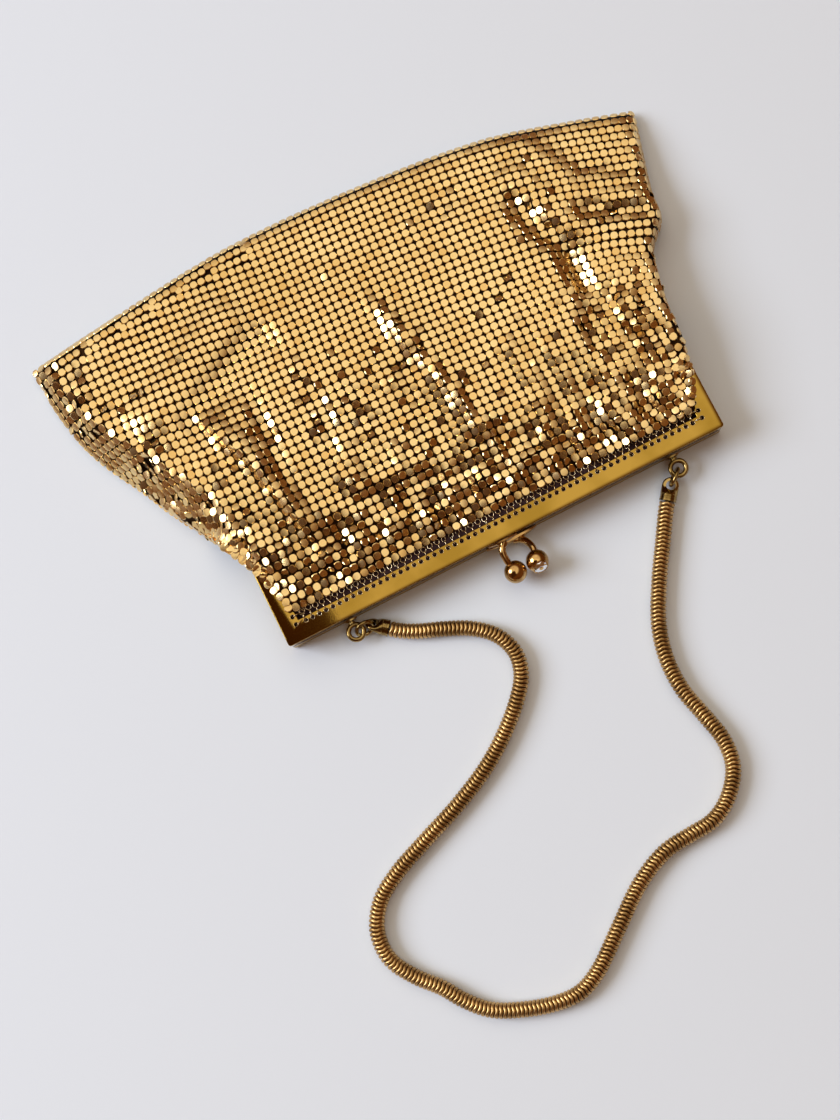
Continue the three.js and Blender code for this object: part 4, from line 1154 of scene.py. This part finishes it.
# Chain and fittings: browner brass than the frame, dull on the chain, more olive and polished on the fittings
chain_brass = metal("chain_antique_brass", "#cfaa70", "#a07e4c", roughness=0.32, spread=0.12, patch=8.0, scratch=0.6)
fitting_brass = metal("fitting_olive_brass", "#ac925c", "#7c6335", roughness=0.12, spread=0.1, patch=5.0, scratch=0.5)
chain_ends = []
for side, (share, to_cap, to_chain, link_lean, tab_lean) in HANGERS.items():
    eyelet_centre = np.array([share * FRAME_WIDTH / 2, -EYELET_STANDOFF, EYELET_HEIGHT])
    cap_hole = eyelet_centre + level(to_cap, LINK_SPAN)
    cap_hole[2] = CAP_RADIUS
    chain_end = cap_hole + level(to_chain, CAP_LENGTH)
    chain_ends.append([chain_end, chain_end + level(to_chain, CHAIN_DIAMETER / 2)])

    eyelet = joined("frame_eyelet_" + side, eyelet_form(eyelet_centre[0]), fitting_brass)
    along = unit(cap_hole - eyelet_centre)
    upward = np.cross(along, unit(np.cross((0.0, 0.0, 1.0), along)))
    upward = turn_about(upward, along, -link_lean)
    link_axes = np.array([along, upward, np.cross(along, upward)])
    link_ring = ring_form(LINK_SPAN / 2 - 0.05, LINK_WIRE_THICK / 2, around=36, across=12)
    link = joined("chain_link_" + side, [moved(link_ring, (eyelet_centre + cap_hole) / 2, link_axes)], fitting_brass)
    outward = level(to_chain + 180)
    across_tab = turn_about(np.cross((0.0, 0.0, 1.0), outward), outward, tab_lean)
    cap_axes = np.array([outward, across_tab, np.cross(outward, across_tab)])
    cap = joined("chain_end_cap_" + side, [cap_form()], fitting_brass)
    cut_with(cap, bars("tab_punch", np.array([(CAP_LENGTH, 0.0)]), TAB_HOLE / 2, -4, 4, sides=20))
    cap.data.materials.clear()
    cap.data.materials.append(fitting_brass)
    carry(cap, chain_end, cap_axes)
    for piece, node, slot in (
        (eyelet, "eyelet_", "clasp_brass"), (link, "jump_link_", "clasp_brass"), (cap, "chain_cap_", "chain_brass"),
    ):
        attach(piece, "root")
        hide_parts(node + side)

# Snake chain: hundreds of wavy bands of pressed brass nested in each other, which bend as one round rope. Its
# ends are crimped in the caps, and it lies on the table in a loop.
CHAIN_REACH = 135.0
BAND_PITCH = 1.3
BAND_WAVE = 0.2
CORE_DEPTH = 0.7
# The route between the two caps: shares of half the frame's width and of the chain's reach below the frame
CHAIN_ROUTE = np.array([
    (-0.505, 0.096), (-0.408, 0.118), (-0.296, 0.149), (-0.217, 0.19), (-0.182, 0.244), (-0.202, 0.296),
    (-0.266, 0.344), (-0.371, 0.398), (-0.501, 0.449), (-0.684, 0.499), (-0.868, 0.538), (-1.033, 0.576),
    (-1.139, 0.615), (-1.205, 0.674), (-1.208, 0.741), (-1.147, 0.801), (-1.068, 0.851), (-1.005, 0.902),
    (-0.928, 0.945), (-0.803, 0.978), (-0.678, 0.997), (-0.572, 0.999), (-0.471, 0.975), (-0.32, 0.911),
    (-0.153, 0.841), (-0.007, 0.804), (0.118, 0.796), (0.224, 0.79), (0.318, 0.76), (0.395, 0.704),
    (0.413, 0.64), (0.389, 0.57), (0.359, 0.496), (0.358, 0.422), (0.393, 0.342), (0.484, 0.245), (0.575, 0.166),
])

on_table = np.column_stack([
    CHAIN_ROUTE * (FRAME_WIDTH / 2, -CHAIN_REACH), np.full(len(CHAIN_ROUTE), CHAIN_DIAMETER / 2),
])
route = curve_through(np.vstack([chain_ends[0], on_table, chain_ends[1][::-1]]), 30)
route_length = np.linalg.norm(np.diff(route, axis=0), axis=1).sum()
bands = int(route_length / BAND_PITCH)
share = (np.arange(bands) + 0.5) / bands
middle = point_along(route, share)
ahead = unit(point_along(route, np.minimum(share + 0.002, 1)) - point_along(route, np.maximum(share - 0.002, 0)))
beside = unit(np.cross((0.0, 0.0, 1.0), ahead))


def band_form(around, wave):
    """One band: a rounded hoop whose edge runs in waves, so that the next one nests against it."""
    turn = np.arange(around) * 2 * np.pi / around
    radius = CHAIN_DIAMETER / 2
    section = np.array([
        (0.03, 0.0), (-0.06, 0.34), (-0.27, 0.54), (-0.85, 0.5), (-0.85, -0.5), (-0.27, -0.54), (-0.06, -0.34),
    ])
    reach = radius + section[None, :, 0]
    lengthwise = section[None, :, 1] + wave * np.cos(4 * turn)[:, None]
    form = np.stack([
        lengthwise + 0 * reach, reach * np.cos(turn)[:, None], reach * np.sin(turn)[:, None],
    ], -1).reshape(-1, 3)
    return form, [ring_quads(around, len(section), closed=True, flip=True)[:, ::-1]]


band_axes = np.stack([ahead, beside, np.cross(ahead, beside)], 1)
chain = mesh_object("snake_chain_bands", *copies(*band_form(around=24, wave=BAND_WAVE), middle, band_axes), smooth=(0,))
chain.data.materials.append(chain_brass)
core_line = point_along(route, np.linspace(0.002, 0.998, 220))
# The core is drawn in the near-black ring-layer brass, as painted shade in the gaps between the bands
core = joined("snake_chain_core", [tube_along(core_line, CHAIN_DIAMETER / 2 - CORE_DEPTH, sides=10)], painted_shade_brass)
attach(chain, "root")
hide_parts("snake_chain")
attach(core, "root")

# Table and light: a pale matt table top under a large soft window to the upper left, in a warm dim room with a
# pale ceiling, which the plates and the frame mirror.
FLOOR_SIZE = 1600.0
# The table lies this much under the purse, so that no two faces lie in one plane
FLOOR_DROP = 0.05
floor_corners = np.array([(-1, -1), (1, -1), (1, 1), (-1, 1)]) * FLOOR_SIZE / 2
floor = mesh_object("table_top", np.column_stack([floor_corners, np.full(4, -FLOOR_DROP)]), [np.arange(4)[None]])
# Table top: pale cool white without gloss, which shows the soft shade beside the bag
table = new_material("pale_matt_table", Base_Color=paint("#e5edf7"), Roughness=0.9)[0]
floor.data.materials.append(table)

# The window's direction from the purse, its distance and its size, in metres
WINDOW_DIRECTION = Vector((-0.74, 0.37, 0.56)).normalized()
WINDOW_DISTANCE = 2.4
WINDOW_SIZE = 1.2
light = bpy.data.lights.new("window", "AREA")
light.shape = "RECTANGLE"
light.size = light.size_y = WINDOW_SIZE
light.energy = 50
light.color = paint("#ecf3ff")[:3]
window = bpy.data.objects.new("window", light)
window.location = WINDOW_DIRECTION * WINDOW_DISTANCE
window.rotation_mode = "QUATERNION"
window.rotation_quaternion = WINDOW_DIRECTION.to_track_quat("Z", "Y")
bpy.context.collection.objects.link(window)

room = bpy.data.worlds.new("room")
bpy.context.scene.world = room
room.use_nodes = True
room_tree = room.node_tree
direction = add_node(room_tree, "TexCoord").outputs["Generated"]
room_background = room_tree.nodes["Background"]
# The pale ceiling: full within one angle of its middle, in degrees, and gone beyond the other
CEILING_MIDDLE = Vector((-0.14, 0.32, 0.93)).normalized()
CEILING_INNER = 34
CEILING_OUTER = 54
cosine = add_node(room_tree, "VectorMath", [(0, direction)], operation="DOT_PRODUCT")
cosine.inputs[1].default_value = CEILING_MIDDLE
ceiling = add_node(
    room_tree, "MapRange", [("Value", cosine.outputs["Value"])], interpolation_type="SMOOTHSTEP",
    From_Min=np.cos(np.radians(CEILING_OUTER)), From_Max=np.cos(np.radians(CEILING_INNER)),
)
walls = add_node(room_tree, "ValToRGB", [("Fac", ceiling.outputs["Result"])])
walls.color_ramp.elements[0].color = paint("#70492a")
walls.color_ramp.elements[1].color = paint("#fff4e0")
# A dark recess of the room, which the frame's left corner mirrors: where the direction along each of four axes
# stays under an edge, blurred by so much
RECESS_EDGES = (
    ((1.0, 0.0, 0.0), -0.079, 0.004), ((0.27, 1.0, 0.0), 0.0785, 0.004), ((-1.0, 0.0, 0.0), 0.85, 0.03),
    ((0.0, -1.0, 0.0), 0.65, 0.05),
)
sides_of_recess = []
for axis, edge, blur in RECESS_EDGES:
    along = add_node(room_tree, "VectorMath", [(0, direction)], operation="DOT_PRODUCT")
    along.inputs[1].default_value = axis
    inside = add_node(
        room_tree, "MapRange", [("Value", along.outputs["Value"])], From_Min=edge + blur, From_Max=edge - blur,
    )
    sides_of_recess.append(inside.outputs["Result"])
recess = sides_of_recess[0]
for side in sides_of_recess[1:]:
    recess = add_node(room_tree, "Math", [(0, recess), (1, side)], operation="MULTIPLY").outputs["Value"]
shaded = add_node(room_tree, "Mix", data_type="RGBA")
room_tree.links.new(recess, shaded.inputs["Factor"])
room_tree.links.new(walls.outputs["Color"], shaded.inputs["A"])
shaded.inputs["B"].default_value = paint("#482b15")
room_tree.links.new(shaded.outputs["Result"], room_background.inputs["Color"])
room_background.inputs["Strength"].default_value = 1.22
bpy.context.scene.view_settings.view_transform = "Standard"
